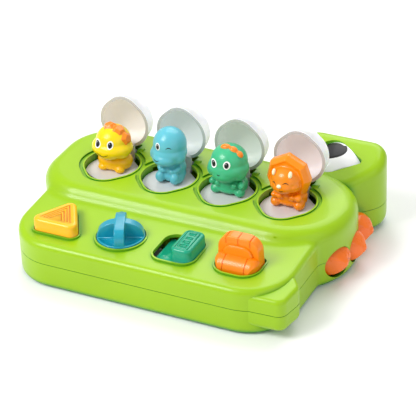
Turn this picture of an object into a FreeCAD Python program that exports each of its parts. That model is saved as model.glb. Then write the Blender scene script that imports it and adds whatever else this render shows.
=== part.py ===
"""Pop-up animal toy: a two-shell housing with four sprung flaps and four controls.

Millimetres, +Z up. The origin lies on the rest plane, under the middle of the row
of four wells. +X runs along the row and -Y points to the child's side.
"""
import FreeCAD, Part
import math
import os

V = FreeCAD.Vector

# ---------------------------------------------------------------- driving sizes
WALL = 2.2                  # wall of both housing shells
GAP = 0.3                   # clearance round fixed pieces
SEAM_Z = 25.0               # height of the parting plane of the two shells
REVEAL_H = 0.5              # groove that shows the parting line
REVEAL_DEEP = 0.8

PANEL_HALF = 136.0          # half length of the control panel
PANEL_FRONT = -130.0        # front wall of the control panel
PANEL_FRONT_Z = 45.5        # panel height at its front edge
PANEL_BACK_Z = 49.5         # panel height where it meets the block
PANEL_CORNER = 44.0
EDGE_ROUND = 6.0            # rounding of the panel's top edge
FOOT_ROUND = 6.0            # rounding of the bottom edge

BLOCK_LEFT = -152.0
BLOCK_RIGHT = 152.0
BLOCK_FRONT = -56.0
BLOCK_BACK = 72.0
BLOCK_SKEW = 6.0            # the back wall comes forward by this much towards the head
BLOCK_Z = 61.0              # top of the raised block
BLOCK_CORNER = 50.0         # corners of its left end
BLOCK_END_R = 60.0          # corners of its rounder right end
BLOCK_ROUND = 14.0          # rounding of its top edge
COVE_R = 12.0               # hollow sweep from the block's front down to the panel

HEAD_LEFT = 60.0
HEAD_OUT = 3.0              # how far the head stands out past the block's right end
HEAD_FRONT = 50.0           # the head grows out of the block's top behind the fourth well
HEAD_BACK = 107.0
HEAD_DROP = 3.8             # its top slopes down to this far under the block's top
HEAD_TALL = 22.0            # and stands up this far over it at the back
HEAD_SLANT = (27.0, 28.0)   # its front wall runs slanting back to the outer side
HEAD_TAPER = 8.0            # the outer side comes in by this much at the back
HEAD_CORNERS = (14.0, 20.0, 24.0, 18.0, 20.0)
HEAD_ROUND = 9.0
HEAD_FOOT_ROUND = 11.0

EYE_IN = 51.0               # middle of the eye's round end, from the block's right end
EYE_BACK = 30.5             # and from the head's back wall
EYE_R = 17.0
EYE_LONG = 27.5             # from there to the pointed corner of the almond opening
EYE_CORNER_R = 3.0
EYE_BALL_R = 38.0           # roundness of the eye
EYE_RISE = 3.4              # height of the eye's crown over the head
EYE_DEPTH = 9.0             # depth of the eye's seat under the head's top

TAIL_FRONT_Z = 40.0         # the tail lump's top rises to the back
TAIL_BACK_Z = 46.0
TAIL_ROUND = 4.5
TAIL_OUT = 8.0              # how far the tail lump stands out from the side wall
TAIL_LEN = 50.0             # length of the lump along the front
TAIL_DEEP = 50.0            # and along the side
TAIL_FOOT_Z = 8.0           # the lump hangs clear of the ground
TAIL_FOOT_ROUND = 7.0

WELL_PITCH = 60.0
WELL_BACK_R = 26.5          # large end of the egg-shaped opening
WELL_BACK_Y = 1.0
WELL_FRONT_R = 17.5         # small end
WELL_FRONT_Y = -12.5
LIP_W = 1.6                 # bright lip round each opening
LIP_H = 1.2
DISH_W = 5.0                # shallow groove round the lip
DISH_H = 1.8
SKIRT_DEEP = 11.0           # depth of the wall that hangs round each opening
SKIRT_BACK_Y = 13.0

HINGE_Y = 33.0
HINGE_DROP = 3.5            # the hinge axis lies this far under the block's top
PIN_R = 1.25
PIN_CLEAR = 0.05            # radial running clearance on the hinge pin
BARREL_R = 3.6
NECK_HALF = 10.0
EAR_GAP = 1.2
EAR_W = 6.0
EAR_R = 4.6
NOTCH_CLEAR = 3.0           # room behind the plate when it hangs down
ARM = 4.0                   # distance of the plate and of the lid plane from the axis
PLATE_T = 2.0
PLATE_LEN = 53.0
PLATE_NOSE_R = 30.0         # roundness of the plate's front edge
PLATE_CLEAR = 1.0
SHOULDER_IN = 4.0           # the plate narrows from here to its neck
SHOULDER_DEEP = 11.0
FLAP_ANGLE = 90.0           # from open to closed
LID_LEN = 60.0              # tip of the lid from the axis
LID_CLEAR = 1.0             # gap between the shut lid and the sides of its opening
LID_TIP_R = 18.0
LID_WALL = 1.6
LID_DOME = 20.0             # depth of the dome
LID_ROUND = 9.0             # rounding of its back
LID_FLANGE = 1.4
FIGURE_BACK = 19.5          # figures stand this far in front of the well's back end
FIGURE_PEG_R = 3.0
PEG_LEN = 1.6
FIGURE_FIT = 26.5           # size of a well that the figures are drawn for
FRILL_IN = 9.5              # the frill's disc is this much smaller than the well
FRILL_T = 7.0

CONTROL_PITCH = 58.5
CONTROL_MID_X = -3.0
CONTROL_GAP = 0.7           # gap round a control in its opening
COLLAR_W = 1.6
COLLAR_H = 1.0
COLLAR_DEEP = 5.5           # sleeve of a collar under the panel's top
BUTTON_C_Y = -97.5
BUTTON_CORNER_R = 30.5      # centre to corner of the triangle before rounding
BUTTON_ROUND = 6.5
BUTTON_TOP = 59.5
BUTTON_ARRIS = 3.0          # rounding of its top edge
BUTTON_STEM_R = 3.0
CHEVRONS = 4                # nested arrow lines on the button
CHEVRON_STEP = 3.8
CHEVRON_W = 0.7
CHEVRON_DEEP = 0.5
BUTTON_TRAVEL = 5.0
KNOB_Y = -92.0
KNOB_R = 22.0
KNOB_TOP = 62.0
KNOB_REST = 24.0            # the grip stands turned by this much at rest
KNOB_TURN = 45.0
SLIDE_Y = -92.0
SLIDE_LEN = 39.0            # opening along X
SLIDE_DEPTH = 41.0          # opening along Y
SLIDE_BLOCK = 20.0          # handle block along X
SLIDE_TRAVEL = 14.0
SLIDE_TOP = 12.0            # height of its handle over the panel
SLIDE_EDGE = 2.5            # gap in front of and behind the handle
SLIDE_ROUND = 11.0          # corners of the opening
SLIDE_PLATE_T = 1.8
LEVER_Y = -94.0
LEVER_HALF = 20.5
LEVER_DEEP = 15.8           # half of the lever's opening along Y
LEVER_ANGLE = 20.0
LEVER_AXLE_Z = 44.5
LEVER_TOP = 74.5
LATCH_TRAVEL = 3.0
LATCH_W = 8.0
LATCH_T = 2.4
LATCH_GAP = 0.4             # room round the latches and what moves them
NOSE_SHORT = 0.5            # the latch nose stops this far short of the lid's path
NOSE_T = 1.4
NOSE_OVER = 0.2             # height of the nose over the shut lid's flange
DISH_T = 2.2                # thickness under the dish
BUMP_H = 0.9                # stop bump on the slider's plate
TRAY_Z = 29.0               # top face of the control tray
TRAY_T = 2.0
TRAY_LEFT = 22.0            # the tray ends this far from the panel's left side
TRAY_RIGHT = 24.0
TRAY_YS = (-123.0, -62.0)
CAP_WALL = 2.0              # wall of the hollow push button
FLANGE_T = 1.5              # flange that keeps the button in
CRANK_R = 4.2               # the knob's crank pin from its axis
CRANK_PIN_R = 1.5
KNOB_SHAFT_R = 2.2
KNOB_LIP = 1.1              # the rim stands up this far round the knob's floor
ARCH_W = 5.0                # wall across the knob, at its top
ARCH_FOOT_W = 14.0          # and at its foot
FIN_W = 10.0                # grip across the arch
FIN_END_R = 6.0             # round end of the grip
DRUM_R = 13.3
DRUM_END_R = 6.0            # rounding of the drum's ends
RING_X = 10.4               # ring grooves from the lever's middle
GROOVE_W = 0.9
GROOVE_DEEP = 0.7
LEVER_TAIL = 9.0            # the lever's latch pin below its axle
AXLE_R = 1.5
HUB_R = 3.2
LUG_T = 2.5                 # lugs that hold the lever's axle
LUG_HALF = 4.0
PADDLE_T = 11.5
PADDLE_TAPER = 1.5          # the paddle narrows by this much on each side
PADDLE_CORNER = 13.0
STEP_HALF = 14.5            # smaller arch on the paddle's front
STEP_DROP = 7.5
STEP_T = 2.5

SPIKE_Y = (-17.0, 13.0, 43.0)
SPIKE_IN = (13.0, 5.5, 10.5)  # plane of each spike's base from the block's right end
SPIKE_ROOT = 6.0            # the base goes on into the wall by this much
SPIKE_Z = 19.5
SPIKE_R = 14.5
SPIKE_OUT = 15.4
SPIKE_TIP_R = 4.5
SPIKE_BALL_R = 5.7          # radius of the blunt end
SPIKE_SHANK_R = 5.0

WIRE_R = 0.45               # wire of the flap springs
BUTTON_WIRE_R = 0.5
BUTTON_COIL_R = 4.2
POST_R = 4.5                # screw posts of the shells
TRAY_POST_R = 3.5
SCREW_R = 1.5
SCREW_CORE_R = 1.15
SCREW_HEAD_R = 3.0
SCREW_DEEP = 8.0            # the shell screws' heads sit this far under the parting plane
SHELL_SCREW = 16.0
TRAY_SCREW = 7.0

# ---------------------------------------------------------------- derived places
WELL_X = [(i - 1.5) * WELL_PITCH for i in range(4)]
CONTROL_X = [CONTROL_MID_X + (i - 1.5) * CONTROL_PITCH for i in range(4)]
HINGE_Z = BLOCK_Z - HINGE_DROP
SKIRT_Z = BLOCK_Z - SKIRT_DEEP
LID_HALF = WELL_BACK_R - LID_CLEAR
LID_FOOT = HINGE_Y - WELL_BACK_Y - LID_HALF   # lower edge of the lid from the axis
PLATE_Z = HINGE_Z - ARM
LID_Y = HINGE_Y - ARM
SKIN_Z = BLOCK_Z - WALL
HEAD_FRONT_Z = BLOCK_Z - HEAD_DROP
HEAD_BACK_Z = BLOCK_Z + HEAD_TALL
HEAD_RISE = (HEAD_BACK_Z - HEAD_FRONT_Z) / (HEAD_BACK - HEAD_FRONT)
EYE_C = (BLOCK_RIGHT - EYE_IN, HEAD_BACK - EYE_BACK)
EYE_CORNER = (EYE_C[0] + EYE_LONG, EYE_C[1] + 0.5)
EAR_IN = NECK_HALF + EAR_GAP
EAR_OUT = EAR_IN + EAR_W
NOSE_Z = PLATE_Z + LID_WALL + NOSE_OVER
DISH_Z = BLOCK_Z - DISH_H
LUG_IN = LEVER_HALF + CONTROL_GAP + COLLAR_W + 0.3
LUG_OUT = LUG_IN + LUG_T
SHELL_POSTS = [(-PANEL_HALF + 24.0, -62.0), (PANEL_HALF - 24.0, -66.0), (0.0, -66.0),
               (BLOCK_LEFT + 34.0, 52.0), (0.0, BLOCK_BACK - 16.0), (HEAD_LEFT + 16.0, HEAD_BACK - 12.0)]
SPIKE_BASE = [BLOCK_RIGHT - inward for inward in SPIKE_IN]
TRAY_X = (-PANEL_HALF + TRAY_LEFT, PANEL_HALF - TRAY_RIGHT)
FIGURE_Y = WELL_BACK_Y + WELL_BACK_R - FIGURE_BACK
LATCH_TOP = TRAY_Z + GAP + LATCH_T
WEDGE_Y = BUTTON_C_Y + 13.0   # foot of the button's wedge
SLIDE_PIN_X = CONTROL_X[2] + SLIDE_LEN / 2.0 - SLIDE_BLOCK / 2.0
SLIDE_PIN_Y = SLIDE_Y
GUIDE_Y = -78.0
SPRING_POCKET = 6.0
FRILL_R = FIGURE_FIT - FRILL_IN
FIGURE_K = WELL_BACK_R / FIGURE_FIT
YELLOW_CREST = (104.0, 70.0, 36.0)   # crest spikes run over the top to the +X side
GREEN_CREST = (93.0, 71.0, 50.0)
TRAY_POSTS = [(CONTROL_MID_X - CONTROL_PITCH, -117.0), (CONTROL_MID_X + CONTROL_PITCH, -117.0),
              (CONTROL_MID_X - CONTROL_PITCH, -68.0), (CONTROL_MID_X + CONTROL_PITCH, -68.0)]


# ---------------------------------------------------------------- helpers
def panel_z(y):
    """Height of the panel's sloping top at y."""
    run = (y - PANEL_FRONT) / (BLOCK_FRONT - PANEL_FRONT)
    return PANEL_FRONT_Z + (PANEL_BACK_Z - PANEL_FRONT_Z) * run


def rounded(points, radii, z=0.0):
    """A flat face whose corners are arcs of the given radii."""
    edges = []
    marks = []
    n = len(points)
    for i in range(n):
        here = V(points[i][0], points[i][1], z)
        before = V(points[i - 1][0], points[i - 1][1], z)
        after = V(points[(i + 1) % n][0], points[(i + 1) % n][1], z)
        a = (before - here).normalize()
        b = (after - here).normalize()
        half = a.getAngle(b) / 2.0
        reach = radii[i] / math.tan(half)
        middle = (a + b).normalize()
        centre = here + middle * (radii[i] / math.sin(half))
        marks.append((here + a * reach, centre - middle * radii[i], here + b * reach))
    for i in range(n):
        start, top, end = marks[i]
        edges.append(Part.Arc(start, top, end).toShape())
        following = marks[(i + 1) % n][0]
        if (following - end).Length > 1e-6:
            edges.append(Part.LineSegment(end, following).toShape())
    return Part.Face(Part.Wire(edges))


def hull_face(c1, r1, c2, r2, z=0.0):
    """The outline of a belt round two circles, as on an egg."""
    a = V(c1[0], c1[1], z)
    b = V(c2[0], c2[1], z)
    along = b - a
    dist = along.Length
    along.normalize()
    side = V(-along.y, along.x, 0)
    s = (r1 - r2) / dist
    c = math.sqrt(1.0 - s * s)
    up = along * s + side * c
    down = along * s - side * c
    first = Part.Arc(a + up * r1, a - along * r1, a + down * r1).toShape()
    low = Part.LineSegment(a + down * r1, b + down * r2).toShape()
    second = Part.Arc(b + down * r2, b + along * r2, b + up * r2).toShape()
    high = Part.LineSegment(b + up * r2, a + up * r1).toShape()
    return Part.Face(Part.Wire([first, low, second, high]))


def egg(x, grow, z=0.0):
    """The egg of a well at x, grown by grow on every side."""
    return hull_face((x, WELL_BACK_Y), WELL_BACK_R + grow,
                     (x, WELL_FRONT_Y), WELL_FRONT_R + grow, z)


def prism(face, z0, z1):
    """A flat face stood up between two heights."""
    moved = face.copy()
    moved.translate(V(0, 0, z0 - face.BoundBox.ZMin))
    return moved.extrude(V(0, 0, z1 - z0))


def box(x0, x1, y0, y1, z0, z1):
    return Part.makeBox(x1 - x0, y1 - y0, z1 - z0, V(x0, y0, z0))


def rod(r, x0, x1, y, z):
    """A cylinder along X."""
    return Part.makeCylinder(r, x1 - x0, V(x0, y, z), V(1, 0, 0))


def post(r, x, y, z0, z1):
    return Part.makeCylinder(r, z1 - z0, V(x, y, z0))


def fuse(shapes):
    out = shapes[0]
    if len(shapes) > 1:
        out = out.multiFuse(shapes[1:])
    return out.removeSplitter()


def edges_at(shape, z, tol=0.05):
    """Edges that lie level at height z."""
    found = []
    for e in shape.Edges:
        b = e.BoundBox
        if abs(b.ZMin - z) < tol and abs(b.ZMax - z) < tol:
            found.append(e)
    return found


def sloped(shape, y0, z0, y1, z1):
    """Cut off what lies above a plane that passes through height z0 at y0 and z1 at y1."""
    rise = (z1 - z0) / (y1 - y0)
    reach = 300.0
    low = z0 + rise * (-reach - y0)
    high = z0 + rise * (reach - y0)
    side = Part.makePolygon([V(-reach, -reach, low), V(-reach, reach, high), V(-reach, reach, 500),
                             V(-reach, -reach, 500), V(-reach, -reach, low)])
    return shape.cut(Part.Face(side).extrude(V(2 * reach, 0, 0)))


def roof_edges(shape):
    """All edges of the highest face."""
    roof = max(shape.Faces, key=lambda f: f.CenterOfMass.z)
    return roof.Edges


def foot_round(inset):
    """Rounding of a bottom edge, kept sound on the inside of a wall."""
    return max(FOOT_ROUND - inset, 0.8)


def turned(shape, axis_y, axis_z, degrees):
    """A copy turned about a line along X."""
    out = shape.copy()
    out.rotate(V(0, axis_y, axis_z), V(1, 0, 0), degrees)
    return out


def save(name, shape):
    """Write one node, checked to be sound."""
    if not shape.isValid() or shape.Volume <= 0:
        raise RuntimeError("bad solid in " + name)
    shape.exportStep("parts/%s.step" % name)
    print("%-22s solids %d  volume %.0f" % (name, len(shape.Solids), shape.Volume))


# ---------------------------------------------------------------- housing
def panel_body(inset):
    """The front part with its sloping top, inset by a wall."""
    r = PANEL_CORNER - inset
    back = BLOCK_FRONT + BLOCK_CORNER
    plan = rounded([(-PANEL_HALF + inset, PANEL_FRONT + inset), (PANEL_HALF - inset, PANEL_FRONT + inset),
                    (PANEL_HALF - inset, back), (-PANEL_HALF + inset, back)], [r, r, 2, 2])
    body = sloped(prism(plan, inset, BLOCK_Z), PANEL_FRONT, PANEL_FRONT_Z - inset,
                  BLOCK_FRONT, PANEL_BACK_Z - inset)
    body = body.makeFillet(EDGE_ROUND - inset, roof_edges(body))
    return body.makeFillet(foot_round(inset), edges_at(body, inset))


def block_body(inset):
    """The raised block that carries the wells."""
    r = BLOCK_CORNER - inset
    end = BLOCK_END_R - inset
    plan = rounded([(BLOCK_LEFT + inset, BLOCK_FRONT + inset), (BLOCK_RIGHT - inset, BLOCK_FRONT + inset),
                    (BLOCK_RIGHT - inset, BLOCK_BACK - BLOCK_SKEW - inset),
                    (BLOCK_LEFT + inset, BLOCK_BACK - inset)], [r, end, end, r])
    body = prism(plan, inset, BLOCK_Z - inset)
    body = body.makeFillet(BLOCK_ROUND - inset, edges_at(body, BLOCK_Z - inset))
    return body.makeFillet(foot_round(inset), edges_at(body, inset))


def head_body(inset):
    """The taller head at the back right, which holds the eye."""
    right = BLOCK_RIGHT + HEAD_OUT
    plan = rounded([(HEAD_LEFT, HEAD_FRONT), (right - HEAD_SLANT[0], HEAD_FRONT),
                    (right, HEAD_FRONT + HEAD_SLANT[1]), (right - HEAD_TAPER, HEAD_BACK),
                    (HEAD_LEFT + HEAD_TAPER / 2, HEAD_BACK)], HEAD_CORNERS)
    body = sloped(prism(plan.makeOffset2D(-inset) if inset else plan, inset, HEAD_BACK_Z + 9),
                  HEAD_FRONT, HEAD_FRONT_Z - inset, HEAD_BACK, HEAD_BACK_Z - inset)
    body = body.makeFillet(HEAD_ROUND - inset, roof_edges(body))
    return body.makeFillet(HEAD_FOOT_ROUND - inset, edges_at(body, inset))


def tail_body(inset):
    """The blunt tail tip at the front right corner."""
    right = PANEL_HALF + TAIL_OUT
    front = PANEL_FRONT + 2.5
    left = right - TAIL_LEN
    plan = rounded([(left, front), (right - 4, front + 2), (right + 1, front + 29),
                    (right - 16, front + TAIL_DEEP), (left, front + 40)], [9, 9, 9, 12, 12])
    body = prism(plan.makeOffset2D(-inset) if inset else plan, TAIL_FOOT_Z + inset, TAIL_BACK_Z + 9)
    body = sloped(body, front, TAIL_FRONT_Z - inset, front + 45, TAIL_BACK_Z - inset)
    body = body.makeFillet(TAIL_ROUND - inset, roof_edges(body))
    return body.makeFillet(TAIL_FOOT_ROUND - inset, edges_at(body, TAIL_FOOT_Z + inset))


def housing(inset):
    return fuse([block_body(inset), panel_body(inset), head_body(inset), tail_body(inset)])


def coved(solid):
    """Round the hollow line where the block rises from the panel."""
    line = [e for e in solid.Edges
            if e.BoundBox.XLength > PANEL_HALF and abs(e.CenterOfMass.z - PANEL_BACK_Z) < 0.6
            and abs(e.CenterOfMass.y - BLOCK_FRONT) < 1.5]
    return solid.makeFillet(COVE_R, line)


def seam_reveal(solid):
    """Shallow groove that shows the parting line outside."""
    band = box(-400, 400, -400, 400, SEAM_Z, SEAM_Z + REVEAL_H)
    return solid.common(band).cut(housing(REVEAL_DEEP))


def eye_face(grow, z=0.0):
    """The almond outline of the eye opening."""
    x, y = EYE_C
    r = EYE_R + grow
    return hull_face((x, y), r, EYE_CORNER, EYE_CORNER_R + grow, z)


def triangle(grow):
    """Equilateral triangle with its base to the front."""
    x = CONTROL_X[0]
    c = BUTTON_CORNER_R + 2.0 * grow
    r = BUTTON_ROUND + grow
    pts = [(x + c * math.cos(math.radians(a)), BUTTON_C_Y + c * math.sin(math.radians(a)))
           for a in (210, 330, 90)]
    return rounded(pts, [r, r, r])


def slide_face(grow):
    x = CONTROL_X[2]
    hx = SLIDE_LEN / 2.0 + grow
    hy = SLIDE_DEPTH / 2.0 + grow
    r = SLIDE_ROUND + grow
    return rounded([(x - hx, SLIDE_Y - hy), (x + hx, SLIDE_Y - hy), (x + hx, SLIDE_Y + hy),
                    (x - hx, SLIDE_Y + hy)], [r, r, r, r])


def lever_face(grow):
    x = CONTROL_X[3]
    h = LEVER_HALF + grow
    front = 15.0 + grow
    back = 4.0 + grow
    low = LEVER_Y - LEVER_DEEP - grow
    high = LEVER_Y + LEVER_DEEP + grow
    return rounded([(x - h, low), (x + h, low), (x + h, high), (x - h, high)],
                   [front, front, back, back])


def knob_face(grow):
    return Part.Face(Part.Wire(Part.makeCircle(KNOB_R + grow, V(CONTROL_X[1], KNOB_Y, 0))))


CONTROL_FACES = (triangle, knob_face, slide_face, lever_face)


def spike_hole(a, y):
    """The round seat of a spike and its shank through the side wall."""
    root = a - SPIKE_ROOT
    seat = rod(SPIKE_R + GAP, root - 2, a + 30, y, SPIKE_Z)
    return seat.fuse(rod(SPIKE_SHANK_R + GAP, root - 9, root, y, SPIKE_Z))


def well_notch(x):
    """Room behind the egg for the neck and the hinge barrel."""
    back = HINGE_Y + ARM + PLATE_T + NOTCH_CLEAR
    return box(x - EAR_IN, x + EAR_IN, SKIRT_BACK_Y, back, SKIRT_Z, BLOCK_Z + 5)


def ears(x):
    """Two round-topped hinge ears, one each side of the neck."""
    out = []
    for x0, x1 in ((x - EAR_OUT, x - EAR_IN), (x + EAR_IN, x + EAR_OUT)):
        knuckle = rod(EAR_R, x0, x1, HINGE_Y, HINGE_Z)
        web = box(x0, x1, HINGE_Y - EAR_R, HINGE_Y + EAR_R, HINGE_Z - 1, SKIN_Z + 0.4)
        out.append(knuckle)
        out.append(web)
    return out


def head_slope(lift):
    """The plane of the head's top, raised by lift."""
    return HEAD_FRONT, HEAD_FRONT_Z + lift, HEAD_BACK, HEAD_BACK_Z + lift


def sloped_floor(shape, y0, z0, y1, z1):
    """Keep what lies above a sloping plane."""
    return shape.cut(sloped(box(-290, 290, -290, 290, -100, 400), y0, z0, y1, z1))


def make_shells():
    """Both housing shells."""
    solid = coved(housing(0.0))
    hollow = housing(WALL)
    skin = solid.cut(hollow)
    big = 400.0
    upper = skin.common(box(-big, big, -big, big, SEAM_Z, big)).cut(seam_reveal(solid))
    lower = skin.common(box(-big, big, -big, big, -1, SEAM_Z))

    # wells: a shallow dish, a lip, a hanging wall and the hinge ears
    adds = []
    cuts = []
    for x in WELL_X:
        upper = upper.cut(prism(egg(x, DISH_W), DISH_Z, BLOCK_Z + 20))
        skirt = prism(egg(x, LIP_W), SKIRT_Z, DISH_Z + LIP_H)
        behind = box(x - 60, x + 60, SKIRT_BACK_Y, 60, SKIRT_Z - 1, SKIN_Z - 1.5)
        adds.append(skirt.cut(behind))
        adds.append(prism(egg(x, DISH_W + 1.5), DISH_Z - DISH_T, DISH_Z))
        cuts.append(prism(egg(x, 0.0), SKIRT_Z - 5, BLOCK_Z + 20))
        cuts.append(well_notch(x))
    for i, make in enumerate(CONTROL_FACES):
        z = panel_z((BUTTON_C_Y, KNOB_Y, SLIDE_Y, LEVER_Y)[i])
        deep = WALL if make is slide_face else COLLAR_DEEP
        collar = prism(make(CONTROL_GAP + COLLAR_W), z - deep, z + COLLAR_H)
        adds.append(collar)
        cuts.append(prism(make(CONTROL_GAP), z - 12, z + 10))
    rim = sloped(prism(eye_face(WALL + 1), HEAD_FRONT_Z - EYE_DEPTH, HEAD_BACK_Z + 9), *head_slope(-1.0))
    adds.append(sloped_floor(rim, *head_slope(-EYE_DEPTH)).common(solid))
    cuts.append(prism(eye_face(0.0), HEAD_FRONT_Z - 15, HEAD_BACK_Z + 10))
    upper = upper.multiFuse(adds)
    upper = upper.cut(cuts)
    upper = upper.multiFuse([e for x in WELL_X for e in ears(x)])
    bores = [rod(PIN_R, x - EAR_OUT - 1, x + EAR_OUT + 1, HINGE_Y, HINGE_Z) for x in WELL_X]
    upper = upper.cut(bores)

    slots = [box(x - LATCH_W / 2 - LATCH_GAP, x + LATCH_W / 2 + LATCH_GAP,
                 WELL_FRONT_Y - WELL_FRONT_R - LIP_W - 1, WELL_FRONT_Y - WELL_FRONT_R + 2,
                 NOSE_Z - LATCH_GAP, DISH_Z - DISH_T) for x in WELL_X]
    upper = upper.cut(slots)
    x = CONTROL_X[3]
    lugs = []
    for x0, x1 in ((x - LUG_OUT, x - LUG_IN), (x + LUG_IN, x + LUG_OUT)):
        lugs.append(box(x0, x1, LEVER_Y - LUG_HALF, LEVER_Y + LUG_HALF, LEVER_AXLE_Z - LUG_HALF,
                        panel_z(LEVER_Y) - 1))
    upper = upper.multiFuse(lugs)
    upper = upper.cut(rod(AXLE_R, x - LUG_OUT - 1, x + LUG_OUT + 1, LEVER_Y, LEVER_AXLE_Z))

    # screw posts of both shells
    tops = [post(POST_R, x, y, SEAM_Z + 0.2, post_top(x, y)) for x, y in SHELL_POSTS]
    upper = upper.multiFuse(tops)
    bore = SHELL_SCREW - SCREW_DEEP + 4
    upper = upper.cut([post(SCREW_CORE_R, x, y, SEAM_Z, SEAM_Z + bore) for x, y in SHELL_POSTS])
    feet = [post(POST_R + 0.5, x, y, WALL - 0.5, SEAM_Z) for x, y in SHELL_POSTS]
    lower = lower.multiFuse(feet)
    lower = lower.cut([post(SCREW_HEAD_R + GAP, x, y, -1, SEAM_Z - SCREW_DEEP) for x, y in SHELL_POSTS])
    lower = lower.cut([post(SCREW_R + GAP, x, y, 0, SEAM_Z + 1) for x, y in SHELL_POSTS])

    # posts that carry the control tray
    upper = upper.multiFuse([post(TRAY_POST_R, x, y, TRAY_Z, panel_z(y) - 1) for x, y in TRAY_POSTS])
    upper = upper.cut([post(SCREW_CORE_R, x, y, TRAY_Z - 1, TRAY_Z + TRAY_SCREW + 1) for x, y in TRAY_POSTS])

    # spike seats: round holes in the wall and a cradle rib behind each
    ribs = []
    for a, y in zip(SPIKE_BASE, SPIKE_Y):
        upper = upper.cut(spike_hole(a, y))
        lower = lower.cut(spike_hole(a, y))
        root = a - SPIKE_ROOT
        rib = box(root - 6, root - 4, y - 9, y + 9, WALL - 0.5, SPIKE_Z)
        ribs.append(rib.cut(rod(SPIKE_SHANK_R + GAP, root - 20, root, y, SPIKE_Z)))
    lower = lower.multiFuse(ribs)
    return upper.removeSplitter(), lower.removeSplitter()


def post_top(x, y):
    """Where a screw post meets the roof over it."""
    if y < BLOCK_FRONT:
        return panel_z(y) - 1.0
    if y > BLOCK_BACK:
        return HEAD_FRONT_Z + HEAD_RISE * (y - HEAD_FRONT) - 1.0
    return BLOCK_Z - 1.0


def make_eye():
    """A hollow white dome, square to the head's slope, with a rim under the roof."""
    x = (EYE_C[0] - EYE_R + EYE_CORNER[0] + EYE_CORNER_R) / 2.0
    y = EYE_C[1]
    level = HEAD_FRONT_Z + HEAD_RISE * (y - HEAD_FRONT)
    up = V(0, -HEAD_RISE, 1).normalize()
    centre = V(x, y, level) + up * (EYE_RISE - EYE_BALL_R)
    tall = sloped_floor(prism(eye_face(-GAP), 40, HEAD_BACK_Z + 20), *head_slope(-EYE_DEPTH - 2.0))
    body = tall.common(Part.makeSphere(EYE_BALL_R, centre))
    flange = sloped(prism(eye_face(WALL), 40, HEAD_BACK_Z + 20), *head_slope(-EYE_DEPTH - 0.1))
    flange = sloped_floor(flange, *head_slope(-EYE_DEPTH - 2.0))
    room = prism(eye_face(-2.2), 40, HEAD_BACK_Z + 20).common(Part.makeSphere(EYE_BALL_R - 2.0, centre))
    return body.fuse(flange).cut(room).removeSplitter()


def make_spike(a, y):
    """A blunt cone with a shank and a collar, lying along X."""
    end = a + SPIKE_OUT - SPIKE_TIP_R * 0.4
    half = math.asin(SPIKE_TIP_R / SPIKE_BALL_R)
    centre = end - SPIKE_BALL_R * math.cos(half)
    middle = V(centre + SPIKE_BALL_R * math.cos(half / 2), SPIKE_BALL_R * math.sin(half / 2), 0)
    root = a - SPIKE_ROOT
    edges = [Part.LineSegment(V(root, 0, 0), V(root, SPIKE_R, 0)).toShape(),
             Part.LineSegment(V(root, SPIKE_R, 0), V(a + 3.5, SPIKE_R, 0)).toShape(),
             Part.Arc(V(a + 3.5, SPIKE_R, 0), V(a + SPIKE_OUT * 0.64, SPIKE_R * 0.72, 0),
                      V(end, SPIKE_TIP_R, 0)).toShape(),
             Part.Arc(V(end, SPIKE_TIP_R, 0), middle, V(centre + SPIKE_BALL_R, 0, 0)).toShape(),
             Part.LineSegment(V(centre + SPIKE_BALL_R, 0, 0), V(root, 0, 0)).toShape()]
    cone = Part.Face(Part.Wire(edges)).revolve(V(0, 0, 0), V(1, 0, 0), 360)
    cone.translate(V(0, y, SPIKE_Z))
    shank = rod(SPIKE_SHANK_R, root - 9, root, y, SPIKE_Z)
    collar = rod(SPIKE_SHANK_R + 2, root - 9, root - 6 - GAP, y, SPIKE_Z)
    return fuse([cone, shank, collar])


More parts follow.
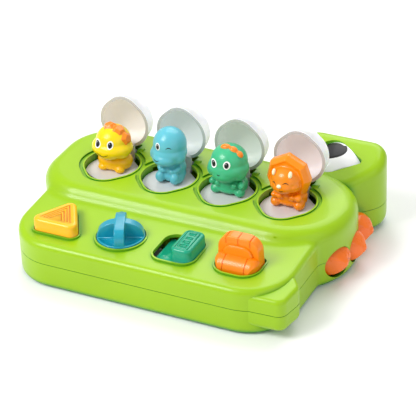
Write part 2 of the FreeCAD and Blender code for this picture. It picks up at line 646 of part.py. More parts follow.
# ---------------------------------------------------------------- flaps
def make_flap(x):
    """Plate, neck and hinge barrel in one moulding."""
    outline = egg(x, -PLATE_CLEAR)
    nose = post(PLATE_NOSE_R, x, HINGE_Y - PLATE_LEN + PLATE_NOSE_R, PLATE_Z - 10, PLATE_Z + 10)
    shoulder = SKIRT_BACK_Y
    half = WELL_BACK_R - SHOULDER_IN
    back = Part.makePolygon([V(x - 60, -60, 0), V(x + 60, -60, 0), V(x + 60, 0, 0),
                             V(x + half, shoulder, 0), V(x + NECK_HALF, shoulder + SHOULDER_DEEP, 0),
                             V(x - NECK_HALF, shoulder + SHOULDER_DEEP, 0), V(x - half, shoulder, 0),
                             V(x - 60, 0, 0), V(x - 60, -60, 0)])
    plate = prism(outline, PLATE_Z - PLATE_T, PLATE_Z)
    plate = plate.common(prism(Part.Face(back), PLATE_Z - 10, PLATE_Z + 10)).common(nose)
    tongue = box(x - NECK_HALF, x + NECK_HALF, 20, LID_Y, PLATE_Z - PLATE_T, PLATE_Z)
    neck = box(x - NECK_HALF, x + NECK_HALF, LID_Y - 2, LID_Y, PLATE_Z - PLATE_T, HINGE_Z + LID_FOOT + 4)
    barrel = rod(BARREL_R, x - NECK_HALF, x + NECK_HALF, HINGE_Y, HINGE_Z)
    cheek = box(x - NECK_HALF, x + NECK_HALF, LID_Y - 1, HINGE_Y, HINGE_Z - BARREL_R, HINGE_Z + BARREL_R)
    body = fuse([plate, tongue, neck, barrel, cheek])
    inside = [e for e in body.Edges
              if abs(e.BoundBox.YMin - (LID_Y - 2)) < 0.01 and abs(e.BoundBox.YMax - (LID_Y - 2)) < 0.01
              and abs(e.BoundBox.ZMax - PLATE_Z) < 0.01 and e.BoundBox.ZLength < 0.01]
    body = body.makeFillet(2.5, inside)
    pocket = box(x + NECK_HALF - SPRING_POCKET, x + NECK_HALF + 1, LID_Y, HINGE_Y + 10,
                 HINGE_Z - BARREL_R - 1, HINGE_Z + BARREL_R + 1)
    body = body.cut([rod(PIN_R + PIN_CLEAR, x - 20, x + 20, HINGE_Y, HINGE_Z), pocket])
    return body.cut(post(FIGURE_PEG_R + 0.1, x, FIGURE_Y, PLATE_Z - 5, PLATE_Z + 1)).removeSplitter()


def lid_egg(x, grow):
    """The lid's outline, drawn flat with its tip towards -Y from the hinge line."""
    big = LID_HALF + grow
    small = LID_TIP_R + grow
    tip = HINGE_Y - LID_LEN + LID_TIP_R
    return hull_face((x, WELL_BACK_Y), big, (x, tip), small)


def make_lid(x):
    """A thin dome with a rim flange. It is drawn closed and turned up to its open place."""
    z0 = HINGE_Z - ARM
    outer = dome(x, -LID_FLANGE, LID_DOME, LID_ROUND, z0)
    inner = dome(x, -LID_FLANGE - LID_WALL, LID_DOME - LID_WALL, LID_ROUND - LID_WALL, z0)
    flange = prism(lid_egg(x, 0.0), z0, z0 + LID_WALL)
    tab = box(x - NECK_HALF + 2, x + NECK_HALF - 2, HINGE_Y - LID_FOOT - 6, HINGE_Y - LID_FOOT + 1.5,
              z0, z0 + LID_WALL)
    shell = outer.fuse(flange).cut(inner)
    shell = shell.fuse(tab.cut(prism(lid_egg(x, -LID_FLANGE - LID_WALL), z0 - 1, z0 + 5)))
    return turned(shell.removeSplitter(), HINGE_Y, HINGE_Z, -FLAP_ANGLE)


def dome(x, grow, rise, r, z0):
    """An egg-based dome: an upright side that is rounded over to a flat crown."""
    body = prism(lid_egg(x, grow), z0, z0 + rise)
    return body.makeFillet(r, edges_at(body, z0 + rise))


def make_pin(x):
    """Steel hinge pin, held in the ears."""
    return rod(PIN_R, x - EAR_OUT, x + EAR_OUT, HINGE_Y, HINGE_Z)


def helix(r, wire, pitch, turns):
    """A round-wire coil about Z that starts at z = 0."""
    path = Part.Wire(Part.makeHelix(pitch, pitch * turns, r).Edges)
    ring = Part.Wire(Part.makeCircle(wire, V(r, 0, 0), V(0, 1, 0)))
    return path.makePipeShell([ring], True, False)


def make_flap_spring(x):
    """Coil of the torsion spring in the pocket beside the hinge barrel."""
    r = PIN_R + WIRE_R + 0.3
    turns = 3
    pitch = (SPRING_POCKET - 4 * WIRE_R) / turns
    coil = helix(r, WIRE_R, pitch, turns)
    coil.rotate(V(0, 0, 0), V(0, 1, 0), 90)
    x0 = x + NECK_HALF - SPRING_POCKET + 2 * WIRE_R
    coil.translate(V(x0, HINGE_Y, HINGE_Z))
    return coil


def chevrons(x):
    """Cutters of the nested arrow lines, which point to the wells."""
    slant = math.tan(math.radians(30))
    low = BUTTON_C_Y - BUTTON_CORNER_R * 0.2
    out = []
    for k in range(CHEVRONS):
        tip = BUTTON_C_Y + BUTTON_CORNER_R / 2.0 - k * CHEVRON_STEP
        inner = tip - 2 * CHEVRON_W
        wide = (tip - low) * slant
        narrow = (inner - low) * slant
        corners = ((0, tip), (wide, low), (narrow, low), (0, inner), (-narrow, low), (-wide, low), (0, tip))
        line = Part.makePolygon([V(x + dx, y, BUTTON_TOP) for dx, y in corners])
        out.append(prism(Part.Face(line), BUTTON_TOP - CHEVRON_DEEP, BUTTON_TOP + 1))
    return out


def make_button():
    """Hollow triangular cap with a flange, a spring stem and a wedge for the latch."""
    x = CONTROL_X[0]
    low = panel_z(BUTTON_C_Y) - COLLAR_DEEP - CONTROL_GAP
    cap = prism(triangle(0.0), low, BUTTON_TOP)
    cap = cap.makeFillet(BUTTON_ARRIS, edges_at(cap, BUTTON_TOP)).cut(chevrons(x))
    cap = cap.fuse(prism(triangle(2.0), low - FLANGE_T, low))
    cap = cap.cut(prism(triangle(-CAP_WALL), low - 5, BUTTON_TOP - CAP_WALL))
    stem = post(BUTTON_STEM_R, x, BUTTON_C_Y, TRAY_Z + 8.0 + BUTTON_TRAVEL, BUTTON_TOP - CAP_WALL)
    wedge_x = LATCH_W / 2.0
    slope = LATCH_TRAVEL / BUTTON_TRAVEL
    top_z = BUTTON_TOP - CAP_WALL
    foot_z = LATCH_TOP + BUTTON_TRAVEL + 1.0
    y0 = WEDGE_Y
    wedge = Part.makePolygon([V(0, y0, foot_z), V(0, y0 + 4, foot_z), V(0, y0 + 4, top_z),
                              V(0, y0 - slope * (top_z - foot_z), top_z), V(0, y0, foot_z)])
    blade = Part.Face(wedge).extrude(V(2 * wedge_x - 3, 0, 0))
    blade.translate(V(WELL_X[0] - wedge_x + 1.5, 0, 0))
    blade = blade.common(prism(triangle(-1.0), low, BUTTON_TOP - 1))
    room = post(BUTTON_COIL_R + BUTTON_WIRE_R + 2 * GAP, x, BUTTON_C_Y, low - 20, top_z)
    return fuse([cap, stem, blade.cut(room)])


def make_button_spring():
    """Compression spring between the tray's boss and the cap, round the stem."""
    x = CONTROL_X[0]
    turns = 5
    z0 = TRAY_Z + BUTTON_WIRE_R + 0.1
    tall = BUTTON_TOP - CAP_WALL - BUTTON_WIRE_R - 0.1 - z0
    coil = helix(BUTTON_COIL_R, BUTTON_WIRE_R, tall / turns, turns)
    coil.translate(V(x, BUTTON_C_Y, z0))
    return coil


def knob_disc(skirt, floor, lip):
    """Turned base of the knob: a low rim round a flat floor."""
    r = KNOB_R
    round_mid = 0.8 * (1.0 - math.sqrt(0.5))
    edges = [Part.LineSegment(V(0, 0, skirt), V(r, 0, skirt)).toShape(),
             Part.LineSegment(V(r, 0, skirt), V(r, 0, lip - 0.8)).toShape(),
             Part.Arc(V(r, 0, lip - 0.8), V(r - round_mid, 0, lip - round_mid), V(r - 0.8, 0, lip)).toShape(),
             Part.LineSegment(V(r - 0.8, 0, lip), V(r - 1.8, 0, lip)).toShape(),
             Part.LineSegment(V(r - 1.8, 0, lip), V(r - 2.6, 0, floor)).toShape(),
             Part.LineSegment(V(r - 2.6, 0, floor), V(0, 0, floor)).toShape(),
             Part.LineSegment(V(0, 0, floor), V(0, 0, skirt)).toShape()]
    return Part.Face(Part.Wire(edges)).revolve(V(0, 0, 0), V(0, 0, 1), 360)


def knob_arch(half, foot):
    """Wall across the knob: an arch from rim to rim, dished on both faces."""
    rise = KNOB_TOP - 1.0 - foot
    top = foot + rise
    w0 = ARCH_W / 2.0
    w1 = ARCH_FOOT_W / 2.0
    waist = w0 + 0.9
    mid = foot + 0.42 * rise
    side = [Part.LineSegment(V(-half, -w1, foot), V(-half, w1, foot)).toShape(),
            Part.Arc(V(-half, w1, foot), V(-half, waist, mid), V(-half, w0, top)).toShape(),
            Part.LineSegment(V(-half, w0, top), V(-half, -w0, top)).toShape(),
            Part.Arc(V(-half, -w0, top), V(-half, -waist, mid), V(-half, -w1, foot)).toShape()]
    wall = Part.Face(Part.Wire(side)).extrude(V(2 * half, 0, 0))
    big = (half ** 2 + rise ** 2) / (2 * rise)
    arch = wall.common(Part.makeCylinder(big, 40, V(0, -20, top - big), V(0, 1, 0)))
    tops = [e for e in arch.Edges if e.BoundBox.XLength > half / 2 and e.BoundBox.ZLength > 3]
    return arch.makeFillet(1.4, tops)


def knob_fin(half, foot):
    """Grip: rises over the rim at the child's side and runs back across the arch."""
    top = KNOB_TOP
    bulge = V(0, -half * 0.75, foot + 0.72 * (top - foot))
    face = [Part.LineSegment(V(0, half, foot), V(0, -half, foot)).toShape(),
            Part.Arc(V(0, -half, foot), bulge, V(0, -half * 0.2, top)).toShape(),
            Part.LineSegment(V(0, -half * 0.2, top), V(0, half - 4, top)).toShape(),
            Part.Arc(V(0, half - 4, top), V(0, half - 1.2, top - 1.2), V(0, half, top - 4)).toShape(),
            Part.LineSegment(V(0, half, top - 4), V(0, half, foot)).toShape()]
    fin = Part.Face(Part.Wire(face)).extrude(V(FIN_W, 0, 0))
    fin.translate(V(-FIN_W / 2, 0, 0))
    long_edges = [e for e in fin.Edges if e.BoundBox.XLength < 0.01 and e.BoundBox.ZMax > foot + 1]
    return fin.makeFillet(2.0, long_edges)


def make_knob():
    """Round knob with an arched grip on top and a crank under it."""
    x = CONTROL_X[1]
    base_z = panel_z(KNOB_Y)
    skirt = base_z - COLLAR_DEEP - CONTROL_GAP
    floor = base_z + COLLAR_H
    lip = floor + KNOB_LIP
    half = KNOB_R - 1.0
    foot = floor - 0.6
    end = post(FIN_END_R, 0, half - FIN_END_R + 0.4, foot - 0.3, KNOB_TOP + 0.4)
    end = end.makeFillet(4.0, edges_at(end, KNOB_TOP + 0.4))
    head = knob_disc(skirt, floor, lip).multiFuse([knob_arch(half, foot), knob_fin(half, foot), end])
    head.rotate(V(0, 0, 0), V(0, 0, 1), KNOB_REST)
    flange = Part.makeCylinder(KNOB_R + 2.0, FLANGE_T, V(0, 0, skirt - FLANGE_T))
    disc = Part.makeCylinder(CRANK_R + 3.0, 2.0, V(0, 0, LATCH_TOP + LATCH_GAP))
    neck = Part.makeCylinder(4.5, skirt - LATCH_TOP, V(0, 0, LATCH_TOP + 1))
    shaft = Part.makeCylinder(KNOB_SHAFT_R, LATCH_TOP + 2 - (TRAY_Z - TRAY_T), V(0, 0, TRAY_Z - TRAY_T))
    crank = Part.makeCylinder(CRANK_PIN_R, LATCH_T + 0.6, V(-CRANK_R, 0, LATCH_TOP - LATCH_T))
    knob = head.multiFuse([flange, disc, neck, shaft, crank])
    knob.translate(V(x, KNOB_Y, 0))
    return knob


def slide_block_x():
    """Left side of the slider's handle when it is home, at the right of its opening."""
    return CONTROL_X[2] + SLIDE_LEN / 2.0 - SLIDE_BLOCK - 0.6


def make_slider():
    """Handle block on a sliding plate, with a pin that runs in the latch's slanted slot."""
    x0 = slide_block_x()
    x1 = x0 + SLIDE_BLOCK
    half = SLIDE_DEPTH / 2.0 - SLIDE_EDGE
    top = panel_z(SLIDE_Y) + SLIDE_TOP
    plate_top = panel_z(SLIDE_Y - SLIDE_DEPTH / 2.0) - WALL - GAP - BUMP_H
    handle = rounded([(x0, SLIDE_Y - half), (x1, SLIDE_Y - half), (x1, SLIDE_Y + half),
                      (x0, SLIDE_Y + half)], [6, 6, 6, 6])
    handle = prism(handle, plate_top - 1, top)
    handle = handle.makeFillet(3.0, edges_at(handle, top))
    deep = SLIDE_DEPTH / 2.0 - 0.5
    left = CONTROL_X[2] - SLIDE_LEN / 2.0 + 2.5
    base = box(left, x1 + SLIDE_TRAVEL - 1, SLIDE_Y - deep, SLIDE_Y + deep,
               plate_top - SLIDE_PLATE_T, plate_top)
    bump = Part.makeSphere(4.0, V(left + 5.5, SLIDE_Y - 9, plate_top - 4.0 + BUMP_H))
    bump = bump.common(box(left, left + 20, SLIDE_Y - 20, SLIDE_Y, plate_top - 1, plate_top + 3))
    pin = post(CRANK_PIN_R, SLIDE_PIN_X, SLIDE_PIN_Y, LATCH_TOP - LATCH_T, plate_top - 1)
    return fuse([handle, base, bump, pin])


def paddle_slab(half, top, low, corner, taper, y0, thick):
    """An upright slab with two round upper corners; its front face lies at y0."""
    x = CONTROL_X[3]
    face = rounded([(x - half, low), (x + half, low), (x + half - taper, top), (x - half + taper, top)],
                   [1, 1, corner, corner])
    face.rotate(V(0, 0, 0), V(1, 0, 0), 90)
    slab = face.extrude(V(0, thick, 0))
    slab.translate(V(0, y0, 0))
    return slab.makeFillet(1.6, [e for e in slab.Edges if e.BoundBox.YLength < 0.01])


def lever_grooves(front):
    """Cutters of the three lines over the paddle's top."""
    x = CONTROL_X[3]
    flat = LEVER_HALF - PADDLE_TAPER - PADDLE_CORNER
    out = []
    for dx in (-RING_X - 1.0, 0.0, RING_X + 1.0):
        beyond = max(abs(dx) - flat, 0.0)
        top = LEVER_TOP - PADDLE_CORNER + math.sqrt(PADDLE_CORNER ** 2 - beyond ** 2)
        x0 = x + dx - GROOVE_W / 2.0
        out.append(box(x0, x0 + GROOVE_W, front - 1, front + 40, top - GROOVE_DEEP, top + 5))
        out.append(box(x0, x0 + GROOVE_W, front - 1, front + GROOVE_DEEP, LEVER_TOP - STEP_DROP, top + 1))
    return out


def make_lever():
    """Drum on its axle with an arched paddle behind it."""
    x = CONTROL_X[3]
    y, z = LEVER_Y, LEVER_AXLE_Z
    drum = rod(DRUM_R, x - LEVER_HALF, x + LEVER_HALF, y, z)
    drum = drum.makeFillet(DRUM_END_R, [e for e in drum.Edges if e.BoundBox.XLength < 0.01])
    for side in (-1, 1):
        x0 = x + side * RING_X - GROOVE_W / 2.0
        ring = rod(DRUM_R + 1, x0, x0 + GROOVE_W, y, z)
        drum = drum.cut(ring.cut(rod(DRUM_R - GROOVE_DEEP, x0 - 1, x0 + 2, y, z)))
    drum = drum.cut(box(x - 40, x + 40, y - 40, y + 40, z - 40, z - 4.0))
    drum = drum.cut(box(x - LEVER_HALF + 3.2, x + LEVER_HALF - 3.2, y - DRUM_R + 3, y + DRUM_R - 3,
                        z - 30, z + 3.0))
    back = y + DRUM_R - 1.5
    front = back - PADDLE_T
    paddle = paddle_slab(LEVER_HALF, LEVER_TOP, z + 1, PADDLE_CORNER, PADDLE_TAPER, front, PADDLE_T)
    paddle = paddle.cut(lever_grooves(front))
    step = paddle_slab(STEP_HALF, LEVER_TOP - STEP_DROP, z + 4, PADDLE_CORNER - 4, 1.0,
                       front - STEP_T, STEP_T + 3)
    plan = prism(lever_face(0.0), z - 30, LEVER_TOP + 5)
    body = drum.multiFuse([paddle, step]).common(plan)
    tail = box(WELL_X[3] - 2, WELL_X[3] + 2, y - 2, y + 2, z - LEVER_TAIL - 2, z + 4)
    pin = rod(CRANK_PIN_R, WELL_X[3] - 4, WELL_X[3] + 4, y, z - LEVER_TAIL)
    hub = rod(HUB_R, x - LEVER_HALF, x + LEVER_HALF, y, z)
    body = body.multiFuse([tail, pin, hub])
    return body.cut(rod(AXLE_R + PIN_CLEAR, x - 40, x + 40, y, z))


def make_lever_axle():
    x = CONTROL_X[3]
    return rod(AXLE_R, x - LUG_OUT, x + LUG_OUT, LEVER_Y, LEVER_AXLE_Z)


def latch_profile(x, front):
    """Flat bar, riser and nose of a latch, seen from the side."""
    nose_y = HINGE_Y - LID_LEN - NOSE_SHORT
    lift = NOSE_Z + NOSE_T - (BLOCK_Z - BLOCK_ROUND)
    wall = BLOCK_FRONT + BLOCK_ROUND - math.sqrt((BLOCK_ROUND - WALL) ** 2 - lift ** 2)
    riser = wall + LATCH_TRAVEL + LATCH_GAP
    z0 = LATCH_TOP - LATCH_T
    pts = [(front, z0), (riser + LATCH_T, z0), (riser + LATCH_T, NOSE_Z), (nose_y, NOSE_Z),
           (nose_y, NOSE_Z + NOSE_T), (riser, NOSE_Z + NOSE_T), (riser, LATCH_TOP),
           (front, LATCH_TOP), (front, z0)]
    face = Part.Face(Part.makePolygon([V(x - LATCH_W / 2, y, z) for y, z in pts]))
    return face.extrude(V(LATCH_W, 0, 0))


def slot(x, y, r, dx, dy, z0, z1):
    """A slot cutter from x, y that runs on by dx, dy."""
    plan = hull_face((x, y), r + 0.001, (x + dx, y + dy), r)
    return prism(plan, z0, z1)


def make_latches():
    """The four latches, each with its own follower for its control."""
    z0 = LATCH_TOP - LATCH_T
    slack = LATCH_GAP
    # 1: a ramp post that the button's wedge pushes forwards
    one = latch_profile(WELL_X[0], BUTTON_C_Y + 9.2)
    foot_z = LATCH_TOP + BUTTON_TRAVEL + 1.0
    slope = LATCH_TRAVEL / BUTTON_TRAVEL
    reach = foot_z + 3 - LATCH_TOP
    y_low = WEDGE_Y + slope * (foot_z - LATCH_TOP) - slack
    ramp = Part.makePolygon([V(0, y_low - 6, LATCH_TOP - 1), V(0, y_low + slope, LATCH_TOP - 1),
                             V(0, y_low - slope * reach, LATCH_TOP + reach),
                             V(0, y_low - 6, LATCH_TOP + reach), V(0, y_low - 6, LATCH_TOP - 1)])
    block = Part.Face(ramp).extrude(V(LATCH_W - 3, 0, 0))
    block.translate(V(WELL_X[0] - LATCH_W / 2 + 1.5, 0, 0))
    one = one.fuse(block)
    # 2: a cross slot for the knob's crank pin, and room for its shaft
    two = latch_profile(WELL_X[1], KNOB_Y - 8)
    kx = CONTROL_X[1]
    ear = box(kx - CRANK_R - 5, WELL_X[1] + LATCH_W / 2 + 2, KNOB_Y - 8, KNOB_Y + 11, z0, LATCH_TOP)
    two = two.fuse(ear)
    two = two.cut(slot(kx - CRANK_R, KNOB_Y, CRANK_PIN_R + 0.25, 1.4, 0, z0 - 1, LATCH_TOP + 1))
    two = two.cut(slot(kx, KNOB_Y, KNOB_SHAFT_R + slack, 0, LATCH_TRAVEL, z0 - 1, LATCH_TOP + 1))
    # 3: a slanted slot for the slider's pin
    three = latch_profile(WELL_X[2], SLIDE_PIN_Y - 8)
    apron = box(SLIDE_PIN_X - SLIDE_TRAVEL - 4, SLIDE_PIN_X + 4, SLIDE_PIN_Y - 8,
                SLIDE_PIN_Y + 10, z0, LATCH_TOP)
    three = three.fuse(apron)
    three = three.cut(slot(SLIDE_PIN_X, SLIDE_PIN_Y, CRANK_PIN_R + 0.25, -SLIDE_TRAVEL, LATCH_TRAVEL,
                           z0 - 1, LATCH_TOP + 1))
    # 4: a fork round the lever's tail pin
    four = latch_profile(WELL_X[3], LEVER_Y - 7)
    pin_z = LEVER_AXLE_Z - LEVER_TAIL
    fork = []
    for x0, x1 in ((WELL_X[3] - 4.0, WELL_X[3] - 2.5), (WELL_X[3] + 2.5, WELL_X[3] + 4.0)):
        fork.append(box(x0, x1, LEVER_Y - 5, LEVER_Y + 5, z0, pin_z + 2.5))
    four = four.multiFuse(fork)
    four = four.cut(box(WELL_X[3] - 5, WELL_X[3] + 5, LEVER_Y - CRANK_PIN_R - 0.25,
                        LEVER_Y + CRANK_PIN_R + 0.25, pin_z - CRANK_PIN_R - 1.0, pin_z + 5))
    return [s.removeSplitter() for s in (one, two, three, four)]


def make_tray():
    """Plate under the controls: latch guides, the knob's bearing and screw holes."""
    y0, y1 = TRAY_YS
    plan = rounded([(TRAY_X[0], y0), (TRAY_X[1], y0), (TRAY_X[1], y1), (TRAY_X[0], y1)], [25, 25, 4, 4])
    tray = prism(plan, TRAY_Z - TRAY_T, TRAY_Z)
    guides = []
    for x in WELL_X:
        for side in (-1, 1):
            a = x + side * (LATCH_W / 2 + LATCH_GAP)
            b = a + side * 1.6
            guides.append(box(min(a, b), max(a, b), GUIDE_Y, y1 - 1, TRAY_Z - 0.5, TRAY_Z + LATCH_T + 0.5))
    boss = post(3.2, CONTROL_X[0], BUTTON_C_Y, TRAY_Z - 0.5, TRAY_Z + 6.0)
    tray = fuse([tray, boss] + guides)
    cuts = [post(KNOB_SHAFT_R + PIN_CLEAR, CONTROL_X[1], KNOB_Y, TRAY_Z - 5, TRAY_Z + 5)]
    for x, y in TRAY_POSTS:
        cuts.append(post(SCREW_R + GAP, x, y, TRAY_Z - 5, TRAY_Z + 5))
    for x, y in SHELL_POSTS:
        cuts.append(post(POST_R + 1.5, x, y, TRAY_Z - 5, TRAY_Z + 5))
    return tray.cut(cuts)


def screw(x, y, head_z, length):
    """Pan-head self-tapping screw, head down."""
    head = Part.makeCylinder(SCREW_HEAD_R, 2.0, V(x, y, head_z - 2.0))
    head = head.makeFillet(0.7, edges_at(head, head_z - 2.0))
    cross = box(x - 1.6, x + 1.6, y - 0.4, y + 0.4, head_z - 3, head_z - 1.1)
    cross = cross.fuse(box(x - 0.4, x + 0.4, y - 1.6, y + 1.6, head_z - 3, head_z - 1.1))
    return head.fuse(post(SCREW_CORE_R, x, y, head_z, head_z + length)).cut(cross)


def make_screws():
    """Screws of the shells, and of the tray."""
    shell = [screw(x, y, SEAM_Z - SCREW_DEEP, SHELL_SCREW) for x, y in SHELL_POSTS]
    tray = [screw(x, y, TRAY_Z - TRAY_T, TRAY_SCREW) for x, y in TRAY_POSTS]
    return Part.makeCompound(shell), Part.makeCompound(tray)


# ---------------------------------------------------------------- figures
def ball(r, x, y, z):
    """A sphere whose poles point to the sides."""
    return Part.makeSphere(r, V(x, y, z), V(1, 0, 0))


def capsule(r, z0, z1):
    """A round-ended upright form whose two centres lie at z0 and z1."""
    diagonal = r * math.sqrt(0.5)
    edges = [Part.Arc(V(0, 0, z0 - r), V(diagonal, 0, z0 - diagonal), V(r, 0, z0)).toShape(),
             Part.LineSegment(V(r, 0, z0), V(r, 0, z1)).toShape(),
             Part.Arc(V(r, 0, z1), V(diagonal, 0, z1 + diagonal), V(0, 0, z1 + r)).toShape(),
             Part.LineSegment(V(0, 0, z1 + r), V(0, 0, z0 - r)).toShape()]
    return Part.Face(Part.Wire(edges)).revolve(V(0, 0, 0), V(0, 0, 1), 360)


def torso(r0, r1, tall):
    """A turned sitting body, wider at its foot."""
    edges = [Part.LineSegment(V(0, 0, 0), V(r0 - 2, 0, 0)).toShape(),
             Part.Arc(V(r0 - 2, 0, 0), V(r0 - 0.5, 0, 1), V(r0, 0, 3)).toShape(),
             Part.Arc(V(r0, 0, 3), V(r0 - 0.2, 0, tall * 0.6), V(r1, 0, tall)).toShape(),
             Part.LineSegment(V(r1, 0, tall), V(0, 0, tall)).toShape(),
             Part.LineSegment(V(0, 0, tall), V(0, 0, 0)).toShape()]
    return Part.Face(Part.Wire(edges)).revolve(V(0, 0, 0), V(0, 0, 1), 360)


def feet(spread, r, out):
    """Two round feet to the front, flat underneath."""
    pair = ball(r, -spread, -out, r * 0.8).fuse(ball(r, spread, -out, r * 0.8))
    return pair.cut(box(-40, 40, -40, 40, -20, 0))


def figure_shapes():
    """Four sitting animals about their own foot centre, each with its trim."""
    shapes = []
    # round-headed, with a low body
    head = ball(19.0, 0, 0, 28.5)
    body = fuse([torso(17.0, 14.5, 15.0), head, ball(6.5, 0, -14.5, 22.0), feet(7.5, 5.0, 12.0)])
    trim = [cone_bump(19.0, 28.5, a, 4.6) for a in YELLOW_CREST]
    shapes.append((body, trim))
    # tall domed head with a snout
    skull = fuse([capsule(17.5, 28.0, 37.5), ball(8.0, 0, -11.5, 25.0)])
    body = fuse([torso(15.0, 11.5, 16.0), skull, feet(7.0, 5.6, 11.0), ball(4.0, -9, -9, 12),
                 ball(4.0, 9, -9, 12)])
    shapes.append((body, []))
    # round head with a low crest
    body = fuse([torso(16.5, 13.0, 16.0), ball(19.0, 0, 0, 30.5), ball(15.0, 0, 0, 34.0),
                 ball(7.5, 0, -13.0, 24.0), feet(8.0, 5.2, 12.0), ball(3.8, -10, -10, 12),
                 ball(3.8, 10, -10, 12)])
    trim = [cone_bump(19.2, 30.5, a, 3.8) for a in GREEN_CREST]
    shapes.append((body, trim))
    # a head inside a broad scalloped frill
    frill = Part.makeCylinder(FRILL_R, FRILL_T, V(0, 1.5, 30.5), V(0, 1, 0))
    for k in range(7):
        a = math.radians(90 + k * 360 / 7.0)
        middle = V(FRILL_R * math.cos(a), 1.5, 30.5 + (FRILL_R - 0.5) * math.sin(a))
        frill = frill.fuse(Part.makeCylinder(6.5, FRILL_T, middle, V(0, 1, 0)))
    face = fuse([ball(16.0, 0, -1.0, 28.0), ball(8.0, 0, -12.5, 23.5)])
    body = fuse([torso(15.5, 12.5, 16.0), frill, face, feet(8.0, 5.2, 11.5), ball(3.8, -10, -9, 12),
                 ball(3.8, 10, -9, 12)])
    horns = [horn(-7.5, -11.0, 36.0), horn(7.5, -11.0, 36.0)]
    shapes.append((body, horns))
    return shapes


def cone_bump(r, z, degrees, size):
    """A rounded crest spike that stands on a round head in its middle plane."""
    tip = Part.makeCone(size, size * 0.25, size * 1.15, V(r - 0.8, 0, 0), V(1, 0, 0))
    tip.rotate(V(0, 0, 0), V(0, 1, 0), -degrees)
    tip.translate(V(0, 0, z))
    return tip.cut(ball(r + 0.05, 0, 0, z))


def horn(x, y, z):
    return Part.makeCone(2.2, 0.8, 6.0, V(x, y, z), V(x * 0.03, -0.45, 1.0))


def make_figures():
    """Figures in place on their plates, each held by a peg, and their separate trims."""
    peg = Part.makeCylinder(FIGURE_PEG_R, PEG_LEN + 1, V(0, 0, -PEG_LEN))
    out = []
    for i, (body, trim) in enumerate(figure_shapes()):
        place = V(WELL_X[i], FIGURE_Y, PLATE_Z)
        body.scale(FIGURE_K, V(0, 0, 0))
        body = fuse([body, peg])
        body.translate(place)
        parts = []
        for t in trim:
            t.scale(FIGURE_K, V(0, 0, 0))
            t.translate(place)
            parts.append(t.cut(body) if i == 3 else t)
        out.append((body, parts))
    return out


# ---------------------------------------------------------------- run
def main():
    os.makedirs("parts", exist_ok=True)
    upper, lower = make_shells()
    save("top_shell", upper)
    save("bottom_shell", lower)
    save("eye_dome", make_eye())
    for name, a, y in zip(("front", "middle", "rear"), SPIKE_BASE, SPIKE_Y):
        save("spike_" + name, make_spike(a, y))
    for i, x in enumerate(WELL_X):
        save("flap_%d" % (i + 1), make_flap(x))
        save("lid_%d" % (i + 1), make_lid(x))
        save("hinge_pin_%d" % (i + 1), make_pin(x))
        save("flap_spring_%d" % (i + 1), make_flap_spring(x))
    for i, latch in enumerate(make_latches()):
        save("latch_%d" % (i + 1), latch)
    save("push_button", make_button())
    save("button_spring", make_button_spring())
    save("turn_knob", make_knob())
    save("slide_button", make_slider())
    save("flip_lever", make_lever())
    save("lever_axle", make_lever_axle())
    save("control_tray", make_tray())
    shell_screws, tray_screws = make_screws()
    save("shell_screws", shell_screws)
    save("tray_screws", tray_screws)
    names = ("yellow_dino", "blue_dino", "green_dino", "horned_dino")
    trims = ("yellow_dino_crest", "", "green_dino_crest", "dino_horns")
    for name, trim, (body, parts) in zip(names, trims, make_figures()):
        save(name, body)
        if parts:
            save(trim, Part.makeCompound(parts))


main()
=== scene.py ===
"""Looks of the pop-up animal toy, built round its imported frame.

All sizes are in millimetres in the settings and in metres in the scene.
"""
import math
import bpy
from bpy.props import FloatProperty, FloatVectorProperty, IntProperty, PointerProperty
from mathutils import Matrix, Vector


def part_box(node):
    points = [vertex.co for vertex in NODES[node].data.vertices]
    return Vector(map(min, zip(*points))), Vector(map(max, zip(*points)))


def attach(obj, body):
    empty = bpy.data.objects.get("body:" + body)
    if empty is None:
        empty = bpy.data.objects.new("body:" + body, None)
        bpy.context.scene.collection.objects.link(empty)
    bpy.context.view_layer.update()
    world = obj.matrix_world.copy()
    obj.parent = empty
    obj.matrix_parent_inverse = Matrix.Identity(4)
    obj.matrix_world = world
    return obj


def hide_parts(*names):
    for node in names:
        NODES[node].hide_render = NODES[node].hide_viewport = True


bl_info = {
    "name": "Pop-up Animal Toy",
    "version": (1, 0, 0),
    "blender": (4, 5, 0),
    "location": "View3D > Sidebar > Toy",
    "description": "Moulded details, animal figures and finishes of a pop-up toy",
    "category": "Object",
}

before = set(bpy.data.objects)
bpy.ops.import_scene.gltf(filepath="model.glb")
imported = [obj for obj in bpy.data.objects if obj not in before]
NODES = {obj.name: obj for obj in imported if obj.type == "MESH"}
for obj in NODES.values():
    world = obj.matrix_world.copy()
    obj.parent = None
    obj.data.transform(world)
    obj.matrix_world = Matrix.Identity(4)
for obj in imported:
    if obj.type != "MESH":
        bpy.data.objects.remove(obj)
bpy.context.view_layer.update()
MM = 0.001


def srgb(r, g, b):
    """A colour given as 0 to 255 values, as linear light."""
    return tuple(((c / 255 + 0.055) / 1.055) ** 2.4 if c > 10 else c / 3294.6 for c in (r, g, b))


def colour(label, note, rgb):
    return FloatVectorProperty(name=label, description=note, subtype="COLOR", size=3,
                               min=0.0, max=1.0, default=srgb(*rgb))


def length(label, note, value):
    return FloatProperty(name=label, description=note + ", in millimetres", default=value, min=0.0)


